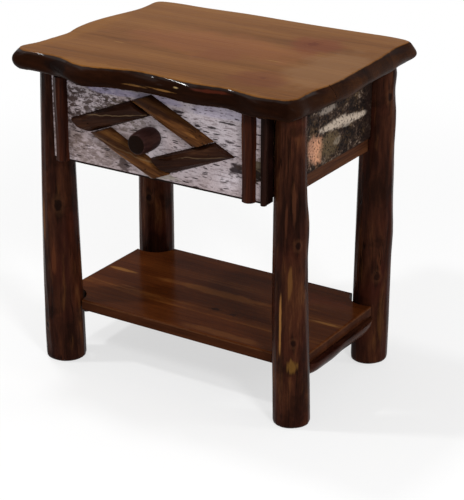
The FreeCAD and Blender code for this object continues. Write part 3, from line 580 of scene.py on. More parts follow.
def peel(name, node, knots, axis=2):
    """A log's mesh with knife flats along it and its knots cut in."""
    piece = merged_copy(name, node)
    lowest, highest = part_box(node)
    middle = (lowest + highest) / 2
    radius = (highest.x - lowest.x) / 2
    use_modifier(piece, "REMESH", mode="VOXEL", voxel_size=LOG_SKIN)

    def rule(place, normal):
        flats = 0.5 + 0.5 * bump_noise(place, 62, 7, axis)
        ripple = 0.5 + 0.5 * bump_noise(place, 160, 30, axis)
        depth = FLAT_DEPTH * (0.6 * flats + 0.25 * ripple)
        if axis == 2:
            sway = 0.35 * noise_at(middle.x * 9, middle.y * 9, place.z * 5)
            turn = math.atan2(place.y - middle.y, place.x - middle.x) + sway
            depth += radius * facet(turn, FLATS_ROUND) * (0.25 + 0.75 * flats)
        lift = KNOT_LIFT
        for centre, wide, tall in knots:
            away = place - centre
            reach = math.hypot(math.hypot(away.x, away.y) / wide, away.z / tall)
            if reach < KNOT_REACH:
                lift = min(lift, KNOT_LIFT * (1 - bell(reach / KNOT_REACH)))
                depth += KNOT_DENT * bell(reach / KNOT_HOLLOW) * (1 + 0.6 * noise.noise(place * 260))
        if abs(normal[axis]) > END_FACE:
            return Vector()
        inward = Vector(normal)
        inward[axis] = 0
        return -inward * (depth + lift)

    carve(piece, rule)
    carve(piece, lambda place, normal: Vector((0, 0, max(0, lowest.z - place.z))))
    return piece


# %% Finish of a log
LOG_STEPS = [(0.34, (20, 8, 4)), (0.44, (34, 15, 9)), (0.52, (47, 23, 14)), (0.60, (62, 33, 20)),
             (0.72, (94, 58, 32))]
PULL_UP = (1.0, 1.0, 0.10)
GOLD_SHARE = 0.38
SMEAR_LENGTH = 3.4


def log_finish(name, knots, turn=(0, 0, 0), shift=(0, 0, 0), patches=()):
    """Finish of a peeled log with its own knots and pale patches."""
    material, tree, shader = start_finish(name, gloss=0.02)
    at = grain_place(tree, turn, shift)
    grain = use_group(tree, "long_grain", Vector=at, Band=38.0, Fibre=150.0, Stretch=0.14, Waver=0.02)
    colour = colour_steps(tree, grain["Tone"], LOG_STEPS)
    red = step_up(tree, cloud(tree, at, 8.0, 2.0), 0.46, 0.66)
    colour = over(tree, red, colour, (56, 22, 15), 0.5)
    long = vector_times(tree, at, (1.0, 1.0, 0.13))
    gold = step_up(tree, cloud(tree, long, 48.0, 5.0, 0.6), 0.56, 0.70)
    colour = over(tree, gold, colour, (98, 62, 32), GOLD_SHARE)
    dark = step_up(tree, cloud(tree, at, 15.0, 4.0, 0.6), 0.52, 0.66)
    colour = over(tree, dark, colour, (18, 7, 4), 0.55)
    here = object_place(tree)
    for centre, size, paint, strength in patches:
        patch = soft_patch(tree, here, centre, size, Ragged=0.9, Scale=170.0, Pull=PULL_UP)
        colour = over(tree, patch, colour, paint, strength)
    checks = use_group(tree, "drying_checks", Vector=at)
    colour = over(tree, checks["Line"], colour, (14, 5, 3), 0.7)
    height = scaled(tree, grain["Fibre"], 0.5, times(tree, checks["Line"], -0.6))
    for centre, wide, tall in knots:
        knot = use_group(tree, "knot", Vector=here, Centre=centre, Size=(wide, wide, tall))
        size = (wide, wide, tall * SMEAR_LENGTH)
        smear = soft_patch(tree, here, centre, size, Ragged=0.9, Scale=150.0, Pull=PULL_UP)
        colour = over(tree, smear, colour, (20, 8, 5), 0.7)
        colour = over(tree, knot["Rim"], colour, (120, 78, 50), 0.10)
        colour = over(tree, knot["Eye"], colour, (16, 7, 5), 0.45)
        height = scaled(tree, knot["Rings"], -0.35, height)
    end_finish(tree, shader, colour, grain["Fibre"], 0.17, 0.36, height, 0.0008)
    return material


# %% [markdown]
# The front right leg shows the most pale wood: a narrow golden streak low on its left side and a yellow
# patch near the foot. The long pale streaks on the front legs are partly sapwood and partly painted
# highlight, for the soft sheen of the lamps. Those are soft patches, long and thin. Two other legs carry a
# few fainter ones.

# %% Make the legs
LEG_PATCHES = {
    "leg_front_right": [((0.2622, -0.186, 0.215), (0.0042, 0.02, 0.075), (150, 104, 56), 0.8),
                        ((0.286, -0.180, 0.131), (0.009, 0.02, 0.018), (108, 76, 34), 0.7),
                        ((0.279, -0.182, 0.300), (0.0045, 0.02, 0.040), (112, 74, 38), 0.55),
                        ((0.2832, -0.175, 0.46), (0.0035, 0.02, 0.05), (96, 56, 36), 0.35),
                        ((0.2700, -0.178, 0.41), (0.0035, 0.02, 0.05), (82, 46, 30), 0.5),
                        ((0.300, -0.170, 0.36), (0.004, 0.03, 0.05), (86, 52, 34), 0.5)],
    "leg_front_left": [((-0.285, -0.184, 0.298), (0.004, 0.02, 0.06), (104, 66, 34), 0.6),
                       ((-0.262, -0.190, 0.225), (0.007, 0.02, 0.04), (86, 46, 26), 0.6),
                       ((-0.300, -0.182, 0.560), (0.004, 0.02, 0.09), (104, 66, 36), 0.7)],
    "leg_back_right": [((0.291, 0.144, 0.215), (0.005, 0.02, 0.04), (98, 56, 34), 0.25)],
}
LEG_SHIFTS = {"leg_front_left": (0, 0, 0), "leg_front_right": (0.31, 0.2, 0.13),
              "leg_back_right": (0.7, 0.1, 0.4), "leg_back_left": (0.15, 0.63, 0.9)}
for leg, knots in knot_places.items():
    finish = log_finish("finish_" + leg, knots, shift=LEG_SHIFTS[leg], patches=LEG_PATCHES.get(leg, ()))
    stand_in(peel("peeled_" + leg, leg, knots), finish, "leg_log", "frame", leg)

split_log = log_finish("split_log_finish", [], turn=(math.pi / 2, 0, 0), shift=(0.05, 0.3, 0.02))
for rail in ("shelf_rail_left", "shelf_rail_right"):
    stand_in(peel("peeled_" + rail, rail, [], axis=1), split_log, "split_log", "frame", rail)

# %% [markdown]
# ## Board finish
#
# The top and the shelf are glued from solid boards with the grain along the width. Their faces show
# long arches of growth rings. The live edge is nearly black and starts just under the upper face, so its
# mask follows the height. The sawn ends are paler, and the face's own direction tells them apart.

# %% Board finish
KNOT_DEPTH = 0.02


def marks_near(marks, level, depth, lowest, highest):
    """The marks that reach a board, each with its height and depth filled in."""
    return [(kind, (x, y, level), (wide, deep, KNOT_DEPTH if kind == "knot" else depth), paint, strength)
            for kind, x, y, wide, deep, paint, strength in marks if lowest.y - deep < y < highest.y + deep]


def paint_marks(tree, colour, marks, scale):
    """Lay knots and soft patches over a colour, each as (kind, centre, size, paint, strength)."""
    here = object_place(tree)
    for kind, centre, size, paint, strength in marks:
        if kind == "knot":
            knot = use_group(tree, "knot", Vector=here, Centre=centre, Size=size)
            colour = over(tree, knot["Rings"], colour, paint, strength * 0.5)
            colour = over(tree, knot["Eye"], colour, paint, strength)
        else:
            patch = soft_patch(tree, here, centre, size, Ragged=0.5, Scale=scale)
            colour = over(tree, patch, colour, paint, strength)
    return colour


def board_finish(name, steps, pith, level, edge_steps, marks, edge_marks, gloss, roughness, lip_coat=0.0,
                 arris_highlight=0.0):
    """Finish of a board with its grain along X, its pith at a place, and its upper face at a level."""
    material, tree, shader = start_finish(name, gloss=gloss, coat_roughness=0.07)
    at = grain_place(tree, (0, -math.pi / 2, 0), pith)
    rings = use_group(tree, "growth_rings", Vector=at, Ring=0.0042)
    grain = use_group(tree, "long_grain", Vector=at, Band=15.0, Fibre=140.0, Stretch=0.07)
    value = scaled(tree, grain["Tone"], 0.86, times(tree, rings["Ring"], -0.06))
    value = scaled(tree, rings["Fine"], 0.10, value)
    colour = paint_marks(tree, colour_steps(tree, value, steps), marks, 28.0)
    height = scaled(tree, grain["Fibre"], 0.4, times(tree, rings["Ring"], -0.3))
    face = facing(tree)
    uneven = scaled(tree, cloud(tree, at, 70.0), 0.0016, parts_of(tree, object_place(tree))[2])
    below = flip(tree, step_up(tree, uneven, level - 0.0014, level + 0.0002))
    sawn = calc(tree, "MAXIMUM", step_up(tree, calc(tree, "ABSOLUTE", face[0]), 0.60, 0.85),
                step_up(tree, times(tree, face[2], -1.0), 0.6, 0.9))
    edge = over(tree, sawn, colour_steps(tree, grain["Tone"], edge_steps[0]),
                colour_steps(tree, value, edge_steps[1]))
    edge = paint_marks(tree, edge, edge_marks, 60.0)
    # Painted highlight: a thin pale line along the arris just under the upper face, broken into patches.
    if arris_highlight:
        sheen_patches = times(tree, step_up(tree, cloud(tree, at, 60.0), 0.30, 0.50), arris_highlight)
        line = times(tree, step_up(tree, uneven, level - 0.0034, level - 0.0024), sheen_patches)
        edge = over(tree, line, edge, (112, 74, 46))
    colour = over(tree, below, colour, edge)
    if lip_coat:
        lip = times(tree, below, step_up(tree, uneven, level - 0.0052, level - 0.0032))
        sheen_patches = step_up(tree, cloud(tree, at, 16.0, 3.0), 0.34, 0.50)
        feed(tree, shader.inputs["Coat Weight"], times(tree, times(tree, lip, sheen_patches), lip_coat))
    end_finish(tree, shader, colour, grain["Fibre"], roughness[0], roughness[1], height, 0.0004)
    return material


# %% [markdown]
# The upper face is an even warm brown. It turns golden towards the live edges, where the sapwood is,
# and redder in the middle. Two small knots sit near the right end, and a third near the middle.

# %% Finish of the top boards
TOP_STEPS = [(0.28, (82, 46, 18)), (0.40, (102, 63, 28)), (0.50, (114, 73, 36)), (0.62, (127, 85, 45))]
EDGE_STEPS = [(0.30, (14, 4, 1)), (0.46, (26, 10, 4)), (0.60, (38, 17, 7)), (0.80, (70, 40, 18))]
END_STEPS = [(0.30, (26, 11, 4)), (0.44, (40, 20, 8)), (0.56, (54, 29, 12)), (0.70, (78, 48, 25))]
TOP_LEVEL = 0.66
TOP_MARKS = [
    ("patch", 0.0, 0.01, 0.24, 0.10, (134, 80, 50), 0.35),
    ("patch", 0.0, -0.235, 0.36, 0.035, (128, 84, 38), 0.6),
    ("patch", -0.30, -0.02, 0.05, 0.20, (128, 84, 38), 0.5),
    ("patch", 0.26, -0.02, 0.08, 0.16, (126, 92, 62), 0.5),
    ("patch", 0.0, 0.235, 0.34, 0.02, (124, 82, 40), 0.5),
    ("patch", 0.160, 0.105, 0.070, 0.075, (104, 52, 28), 0.7),
    ("knot", 0.151, 0.113, 0.013, 0.017, (84, 36, 14), 0.6),
    ("patch", 0.18, -0.14, 0.075, 0.060, (96, 50, 28), 0.6),
    ("knot", 0.188, -0.131, 0.009, 0.008, (84, 42, 22), 0.5),
    ("patch", 0.045, -0.045, 0.060, 0.050, (104, 58, 32), 0.45),
    ("knot", 0.013, -0.081, 0.008, 0.004, (98, 60, 38), 0.6),
    ("patch", -0.11, -0.152, 0.07, 0.003, (104, 66, 38), 0.45),
    ("patch", -0.01, 0.034, 0.05, 0.003, (108, 62, 38), 0.5),
    ("patch", 0.147, -0.028, 0.022, 0.002, (156, 116, 70), 0.5),
    ("patch", -0.172, -0.074, 0.016, 0.002, (156, 116, 66), 0.5),
]
# Marks on the live edge itself: painted golden highlights and a pale painted glint in the hollows, a red
# streak, the dark knot, the right corner
EDGE_MARKS = [
    ("patch", (-0.030, -0.236, 0.6345), (0.034, 0.03, 0.0022), (150, 108, 62), 0.6),
    ("patch", (0.030, -0.236, 0.6375), (0.040, 0.03, 0.0018), (140, 98, 52), 0.6),
    ("patch", (0.066, -0.238, 0.6470), (0.008, 0.03, 0.0022), (190, 160, 110), 0.7),
    ("patch", (0.140, -0.238, 0.6515), (0.050, 0.03, 0.0034), (76, 32, 20), 0.6),
    ("patch", (-0.203, -0.235, 0.6440), (0.044, 0.04, 0.0150), (12, 5, 4), 0.8),
    ("patch", (0.318, -0.200, 0.6400), (0.03, 0.075, 0.05), (34, 17, 9), 0.7),
]
TOP_BOARDS = ("top_board_front", "top_board_centre_front", "top_board_centre_back", "top_board_back")
top_finishes = {}
for index, board in enumerate(TOP_BOARDS):
    lowest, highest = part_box(board)
    middle = (lowest.y + highest.y) / 2
    pith = (0.4 * index, middle + 0.02 * (-1) ** index, 0.56 - 0.02 * index)
    near = marks_near(TOP_MARKS, TOP_LEVEL, 0.2, lowest, highest)
    edge_marks = EDGE_MARKS if board == "top_board_front" else []
    top_finishes[board] = board_finish("finish_" + board, TOP_STEPS, pith, highest.z, (EDGE_STEPS, END_STEPS),
                                       near, edge_marks, 0.012, (0.30, 0.46),
                                       lip_coat=0.25 if board == "top_board_front" else 0.0)
    wear(top_finishes[board], board)

# %% [markdown]
# The shelf is darker and has more varnish, so that the legs mirror in it. Golden sapwood runs along the
# middle board, and the boards' own edges are darker still, with a thin painted highlight along their upper
# arris.

# %% Finish of the shelf boards
SHELF_STEPS = [(0.28, (48, 20, 6)), (0.40, (63, 29, 11)), (0.52, (78, 39, 15)), (0.64, (104, 62, 28))]
SHELF_EDGE = [(0.30, (34, 14, 8)), (0.46, (52, 26, 14)), (0.60, (68, 36, 20)), (0.80, (90, 54, 30))]
SHELF_LEVEL = 0.134
SHELF_MARKS = [
    ("patch", -0.01, 0.022, 0.16, 0.016, (110, 66, 30), 0.75),
    ("patch", -0.243, 0.016, 0.045, 0.008, (128, 84, 40), 0.8),
    ("patch", 0.247, 0.012, 0.04, 0.006, (134, 90, 44), 0.8),
    ("patch", 0.105, -0.136, 0.11, 0.014, (98, 58, 28), 0.6),
    ("knot", 0.029, -0.047, 0.011, 0.007, (34, 14, 7), 0.8),
    ("knot", 0.074, -0.051, 0.010, 0.006, (36, 15, 8), 0.7),
    ("patch", -0.18, -0.048, 0.03, 0.0018, (110, 70, 38), 0.7),
    ("patch", 0.16, 0.10, 0.12, 0.03, (84, 40, 22), 0.6),
]
for index, board in enumerate(("shelf_board_front", "shelf_board_centre", "shelf_board_back")):
    lowest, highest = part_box(board)
    middle = (lowest.y + highest.y) / 2
    pith = (0.5 * index + 0.2, middle + 0.015 * (-1) ** index, 0.06)
    near = marks_near(SHELF_MARKS, SHELF_LEVEL, 0.05, lowest, highest)
    finish = board_finish("finish_" + board, SHELF_STEPS, pith, highest.z, (SHELF_EDGE, SHELF_EDGE), near,
                          [], 0.006, (0.10, 0.22), arris_highlight=0.28)
    wear(finish, board)
print("board finishes done")

# %% [markdown]
# ## The carved live edge
#
# The front board keeps the outside of the tree. Its edge has long knife flats, a rough dark knot near
# the left corner, a narrow hollow where the knife followed a groove, and a shallow scoop further
# right. Each of these is one line in a list: where it is along the edge, how high, how long, how deep.

# %% Marks along the front edge
EDGE_SKIN = 0.0021
LIP_REACH = 0.0035
FLATS_DEPTH = 0.0010
SCOOPS = [
    (0.012, 0.6372, 0.068, 0.0034, 0.0036, 0.0030),
    (-0.040, 0.6350, 0.018, 0.0030, 0.0024, 0.0),
    (0.067, 0.6475, 0.012, 0.0032, 0.0030, 0.0),
    (0.030, 0.6480, 0.010, 0.0026, 0.0022, 0.0),
    (0.142, 0.6512, 0.036, 0.0036, 0.0016, -0.0030),
]
EDGE_KNOT = (-0.203, 0.6440, 0.034, 0.0125)
EDGE_KNOT_ROUGH = 0.0019
EDGE_KNOT_DEEP = 0.0010
SCOOP_WAVER = 0.0008


def scoop_depth(place):
    """How deep the hollows of the front edge are at a place."""
    depth = 0.0
    for middle, height, half_long, half_tall, deep, sway in SCOOPS:
        along = (place.x - middle) / half_long
        if abs(along) < 1:
            line = height + sway * math.sin(along * 2.6) + SCOOP_WAVER * noise_at(place.x * 90, 0, 7)
            depth += deep * bell(abs(along)) ** 0.4 * bell(abs(place.z - line) / half_tall)
    along = (place.x - EDGE_KNOT[0]) / EDGE_KNOT[2]
    upward = (place.z - EDGE_KNOT[1]) / EDGE_KNOT[3]
    inside = bell(math.hypot(along, upward))
    if inside > 0:
        rough = swell(place.x * 210, 3, place.z * 260)
        depth += EDGE_KNOT_ROUGH * rough * min(1, 2.2 * inside) + EDGE_KNOT_DEEP * inside
    return depth


# %% Carve the front edge
def carve_live_edge():
    """The front board with a rounded lip and a carved edge."""
    piece = merged_copy("live_edge_front", "top_board_front")
    lowest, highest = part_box("top_board_front")
    joint = highest.y
    near_joint = joint - 2 * EDGE_SKIN
    use_modifier(piece, "REMESH", mode="VOXEL", voxel_size=EDGE_SKIN)
    vertices = piece.data.vertices
    on_edge = [v.index for v in vertices if abs(v.normal.z) < 0.9 and v.co.y < near_joint]
    tree = kdtree.KDTree(len(on_edge))
    for index in on_edge:
        tree.insert(vertices[index].co, index)
    tree.balance()
    group = piece.vertex_groups.new(name="lip")
    for vertex in vertices:
        distance = tree.find(vertex.co)[2]
        if distance < LIP_REACH and vertex.co.y < near_joint:
            group.add([vertex.index], 1 - distance / LIP_REACH, "REPLACE")
    use_modifier(piece, "SMOOTH", factor=0.5, iterations=2, vertex_group="lip")

    def rule(place, normal):
        side = 1 - min(1, abs(normal.z) * 1.1)
        if side <= 0 or place.y > near_joint:
            return Vector()
        flats = swell(place.x * 17, place.y * 17, place.z * 95)
        waves = swell(place.x * 48 + 9, place.y * 48, place.z * 60)
        depth = FLATS_DEPTH * flats + 0.5 * FLATS_DEPTH * waves
        if normal.y < -0.3:
            depth += scoop_depth(place)
        return -Vector((normal.x, normal.y, normal.z * 0.3)) * depth * side

    carve(piece, rule)

    def flatten(place, normal):
        flat = Vector(place)
        if place.y > joint - 0.7 * EDGE_SKIN:
            flat.y = joint
        if abs(normal.z) > 0.9 or flat.y == joint:
            for level in (lowest.z, highest.z):
                if abs(place.z - level) < 0.7 * EDGE_SKIN:
                    flat.z = level
        flat.z = min(max(flat.z, lowest.z), highest.z)
        return flat - place

    carve(piece, flatten)
    piece.vertex_groups.clear()
    return piece


stand_in(carve_live_edge(), top_finishes["top_board_front"], "top_wood", "frame", "top_board_front")

# %% [markdown]
# ## Planed case parts
#
# Rails and panels are planed wood, stained red brown. The drawer front's board and the front rails are near
# black: painted shade, as only their edges show, in shadow below and beside the bark. Inside the case the
# wood
# is left pale: runners, guides, cleats, stop and drawer box. That is a guess, as no picture shows it.

# %% Planed wood finish
PLANED_SHIFT = (0.1, 0.2, 0.3)


def planed_finish(name, steps, turn, gloss):
    """Finish of planed wood with its grain along the axis that the turn brings to Z."""
    material, tree, shader = start_finish(name, gloss=gloss)
    at = grain_place(tree, turn, PLANED_SHIFT)
    grain = use_group(tree, "long_grain", Vector=at, Band=34.0, Fibre=240.0, Stretch=0.05)
    rings = use_group(tree, "growth_rings", Vector=at, Ring=0.005, Wander=0.012)
    value = scaled(tree, rings["Ring"], -0.08, grain["Tone"])
    colour = colour_steps(tree, value, steps)
    end_finish(tree, shader, colour, grain["Fibre"], 0.36, 0.55, grain["Fibre"], 0.0004)
    return material


ALONG_X = (0, -math.pi / 2, 0)
ALONG_Y = (math.pi / 2, 0, 0)
RED_BROWN = [(0.34, (36, 17, 9)), (0.45, (56, 30, 17)), (0.55, (74, 43, 25)), (0.66, (100, 62, 38))]
SHADED_FRONT = [(0.30, (12, 4, 3)), (0.50, (20, 8, 6)), (0.68, (34, 16, 11))]
PALE_PINE = [(0.28, (172, 128, 80)), (0.44, (197, 157, 108)), (0.58, (210, 174, 126)),
             (0.72, (222, 190, 144))]
side_rail_wood = planed_finish("side_rail_wood", RED_BROWN, ALONG_Y, gloss=0.02)
case_panel_wood = planed_finish("case_panel_wood", RED_BROWN, ALONG_X, gloss=0.02)
front_board_wood = planed_finish("front_board_wood", SHADED_FRONT, ALONG_X, gloss=0.02)
pale_pine_x = planed_finish("pale_pine_x", PALE_PINE, ALONG_X, gloss=0.3)
pale_pine_y = planed_finish("pale_pine_y", PALE_PINE, ALONG_Y, gloss=0.3)
wear(side_rail_wood, "side_rail_left", "side_rail_right", "side_panel_left", "side_panel_right")
wear(case_panel_wood, "back_panel", "back_rail")
wear(front_board_wood, "drawer_front", "front_rail_lower", "front_rail_upper")
wear(pale_pine_x, "drawer_back", "drawer_bottom", "drawer_stop")
wear(pale_pine_y, "drawer_side_left", "drawer_side_right", "drawer_runner_left", "drawer_runner_right",
     "drawer_guide_left", "drawer_guide_right", "top_cleat_left", "top_cleat_right")
print("planed finishes done")

# %% [markdown]
# ## Split sticks and the knob
#
# The diamond and the uprights are sticks split in half, flat side down. Two of the diamond's sticks are
# golden and two dark, partly from their wood and partly as painted light: the golden pair lit from the
# upper right, the dark pair in shade. Each needs its grain along its own length, so each gets its own turn.

# %% Split stick finish
SHADED_DARK_STICK = [(0.28, (18, 7, 3)), (0.44, (34, 16, 9)), (0.56, (46, 25, 15)), (0.72, (74, 46, 28))]
LIT_GOLD_STICK = [(0.32, (34, 16, 8)), (0.42, (60, 34, 17)), (0.52, (88, 54, 28)), (0.62, (122, 80, 40)),
              (0.74, (158, 110, 58))]
RED_STICK = [(0.28, (18, 6, 3)), (0.44, (34, 13, 7)), (0.58, (54, 24, 13)), (0.72, (84, 46, 24))]
SHADED_END_STICK = [(0.30, (14, 5, 3)), (0.50, (26, 12, 8)), (0.70, (46, 22, 14))]
RIDGE_PLACE = 0.004


def stick_finish(name, steps, turn, shift=(0, 0, 0), middle=None, across=None, rim=0.0, ridge_highlight=0.0):
    """Finish of a split stick. The rim is painted shade along one long side, and the ridge gets a thin
    painted highlight, broken into patches.
    """
    material, tree, shader = start_finish(name, gloss=0.03)
    at = grain_place(tree, turn, shift)
    grain = use_group(tree, "long_grain", Vector=at, Band=75.0, Fibre=340.0, Stretch=0.05)
    colour = colour_steps(tree, grain["Tone"], steps)
    checks = use_group(tree, "drying_checks", Vector=at, Spacing=90.0, Amount=0.42)
    colour = over(tree, checks["Line"], colour, (12, 5, 3), 0.7)
    if across:
        away = vector_calc(tree, "SUBTRACT", object_place(tree), middle)
        dot = put(tree, "ShaderNodeVectorMath", {0: away, 1: across}, operation="DOT_PRODUCT")
        side = dot.outputs["Value"]
        side = scaled(tree, cloud(tree, at, 30.0), 0.012, calc(tree, "SUBTRACT", side, 0.006))
        # Painted shade along one long side of the stick, as strong as rim.
        colour = over(tree, step_up(tree, side, 0.001, 0.009), colour, (30, 14, 8), rim)
        # A thin painted highlight along the ridge, broken into patches.
        off = calc(tree, "ABSOLUTE", calc(tree, "SUBTRACT", side, RIDGE_PLACE))
        line = flip(tree, step_up(tree, off, 0.0002, 0.0015))
        sheen_patches = step_up(tree, cloud(tree, vector_times(tree, at, (1.0, 1.0, 0.3)), 60.0), 0.42, 0.60)
        colour = over(tree, times(tree, line, sheen_patches), colour, (120, 98, 72), ridge_highlight)
    height = scaled(tree, checks["Line"], -0.5, grain["Tone"])
    end_finish(tree, shader, colour, grain["Fibre"], 0.20, 0.38, height, 0.0008)
    return material


def stick_direction(node):
    """The way a diamond stick runs, seen from the front."""
    places = [vertex.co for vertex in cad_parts[node].data.vertices]
    left = min(places, key=lambda place: place.x)
    right = max(places, key=lambda place: place.x)
    return math.atan2(right.z - left.z, right.x - left.x)


# %% Carve and finish the sticks
STICK_SKIN = 0.0014
STICK_FLATS = 0.0007
STICK_SIDES = 8


def whittle(name, node, slope):
    """A stick with knife flats along it."""
    piece = merged_copy(name, node)
    lowest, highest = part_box(node)
    use_modifier(piece, "REMESH", mode="VOXEL", voxel_size=STICK_SKIN)
    along = Vector((math.cos(slope), 0, math.sin(slope)))
    across = Vector((-math.sin(slope), 0, math.cos(slope)))
    middle = (lowest + highest) / 2
    height = highest.y - lowest.y

    def rule(place, normal):
        if place.y > highest.y - 0.8 * STICK_SKIN:
            return Vector((0, highest.y - place.y, 0))
        depth = STICK_FLATS * swell(place.dot(along) * 11, place.dot(across) * 120, place.y * 120)
        sway = 0.3 * noise_at(place.dot(along) * 9, slope * 5, middle.x * 30)
        turn = math.atan2(highest.y - place.y, (place - middle).dot(across))
        depth += height * facet(turn + sway, STICK_SIDES)
        return -(normal - along * normal.dot(along)) * depth

    carve(piece, rule)
    return piece


# Each stick: its colours, the strength of the painted shade on its rim, and of the painted highlight on its
# ridge.
STICKS = {"diamond_upper_left": (SHADED_DARK_STICK, 0.2, 0.55), "diamond_upper_right": (LIT_GOLD_STICK, 0.85, 0.0),
          "diamond_lower_right": (SHADED_DARK_STICK, 0.0, 0.4), "diamond_lower_left": (LIT_GOLD_STICK, 0.55, 0.4)}
for index, (stick, (steps, rim, ridge_highlight)) in enumerate(STICKS.items()):
    slope = stick_direction(stick)
    lowest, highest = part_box(stick)
    finish = stick_finish("finish_" + stick, steps, (0, slope - math.pi / 2, 0),
                          (0.1 * index, 0.05 * index, 0.2), tuple((lowest + highest) / 2),
                          (-math.sin(slope), 0, math.cos(slope)), rim, ridge_highlight)
    stand_in(whittle("split_" + stick, stick, slope), finish, "stick_wood", "drawer", stick)
upright = stick_finish("upright_finish", RED_STICK, (0, 0, 0), (0.3, 0.1, 0.7))
# The end strip gets darker colours than the uprights: painted shade beside the leg.
end_strip = stick_finish("end_strip_finish", SHADED_END_STICK, (0, 0, 0), (0.3, 0.1, 0.7))
for strip, finish in (("strip_left", upright), ("strip_right", upright), ("strip_end", end_strip)):
    stand_in(whittle("split_" + strip, strip, math.pi / 2), finish, "stick_wood", "drawer", strip)


# %% [markdown]
# The knob is a stub of the same wood. Its face shows dark end grain, darkened further as painted shade, and
# its side is a shade lighter.

# %% Knob finish
KNOB_SIDE = [(0.3, (26, 13, 11)), (0.5, (42, 24, 22)), (0.7, (66, 42, 36))]
KNOB_FACE = [(0.0, (22, 9, 4)), (0.8, (9, 3, 1))]


def knob_finish():
    """Dark end grain on the face, partly painted shade, and brown wood round the side."""
    lowest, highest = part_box("drawer_knob")
    middle = ((lowest.x + highest.x) / 2, 0.0, (lowest.z + highest.z) / 2)
    material, tree, shader = start_finish("knob_finish", gloss=0.025)
    at = grain_place(tree, ALONG_Y, middle)
    rings = use_group(tree, "growth_rings", Vector=at, Ring=0.0021, Wander=0.002)
    grain = use_group(tree, "long_grain", Vector=at, Band=70.0, Fibre=300.0, Stretch=0.12)
    side = colour_steps(tree, grain["Tone"], KNOB_SIDE)
    face = colour_steps(tree, rings["Ring"], KNOB_FACE)
    front = times(tree, facing(tree)[1], -1.0)
    colour = over(tree, step_up(tree, front, 0.75, 0.9), side, face)
    height = scaled(tree, rings["Ring"], -0.4, grain["Fibre"])
    end_finish(tree, shader, colour, grain["Fibre"], 0.26, 0.44, height, 0.0005)
    return material


wear(knob_finish(), "drawer_knob")

# %% [markdown]
# ## A sheet of bark
#
# Bark is a thin sheet with relief on its outer face only. A cube is added at the sheet's own size and
# place, its outer face is cut into a fine net, and the points of that net are moved by a rule. The
# sheet stays closed, and its edges stay straight, as cut with a knife.

# %% Bark sheet helper
ON_FACE = 0.0001


def bark_block(name, node, outward, cuts):
    """A block at a solid sheet's size and place, with a fine net on its outer face."""
    lowest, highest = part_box(node)
    bpy.ops.mesh.primitive_cube_add(size=1, location=(lowest + highest) / 2)
    piece = bpy.context.object
    piece.name = name
    piece.scale = highest - lowest
    bpy.ops.object.transform_apply(location=True, rotation=False, scale=True)
    bpy.ops.object.mode_set(mode="EDIT")
    bpy.ops.mesh.select_all(action="DESELECT")
    bpy.ops.object.mode_set(mode="OBJECT")
    for face in piece.data.polygons:
        face.select = face.normal.dot(outward) > 0.9
    bpy.ops.object.mode_set(mode="EDIT")
    bpy.ops.mesh.subdivide(number_cuts=cuts)
    bpy.ops.object.mode_set(mode="OBJECT")
    return piece


def edge_fade(place, lowest, highest, ways, width):
    """0 at the rim of a sheet and 1 away from it."""
    nearest = min(min(place[way] - lowest[way], highest[way] - place[way]) for way in ways)
    return min(1.0, max(0.0, nearest / width))


# %% [markdown]
# ## Birch bark
#
# Birch bark is a pale, slightly pink skin with short dark breathing marks that lie across the trunk, so
# they run along the drawer front. The marks are stretched cells, and only some cells keep theirs.
# Greyer rough areas, eyes left by twigs and two dark knots break up the sheet.

# %% Group: breathing marks
def build_marks():
    """Short dark marks that run along X."""
    tree, given, result = new_group("breathing_marks", [
        ("Vector", VECTOR, None), ("Along", FLOAT, 45.0), ("Across", FLOAT, 300.0),
        ("Size", FLOAT, 0.32)], ["Mark"])
    sway = put(tree, "ShaderNodeTexNoise", {"Vector": given["Vector"], "Scale": 14.0}).outputs["Color"]
    moved = vector_calc(tree, "ADD", given["Vector"], vector_times(tree, sway, (0.0, 0.0, 0.014)))
    size = put(tree, "ShaderNodeCombineXYZ", {0: given["Along"], 1: 0.0, 2: given["Across"]}).outputs[0]
    cells = vector_times(tree, moved, size)
    voronoi = put(tree, "ShaderNodeTexVoronoi", {"Vector": cells, "Scale": 1.0})
    own = put(tree, "ShaderNodeSeparateColor", {0: voronoi.outputs["Color"]}).outputs[0]
    limit = times(tree, given["Size"], scaled(tree, own, 1.7, -0.65))
    inside = calc(tree, "SUBTRACT", limit, voronoi.outputs["Distance"])
    feed(tree, result["Mark"], step_up(tree, inside, 0.0, 0.07))


build_marks()

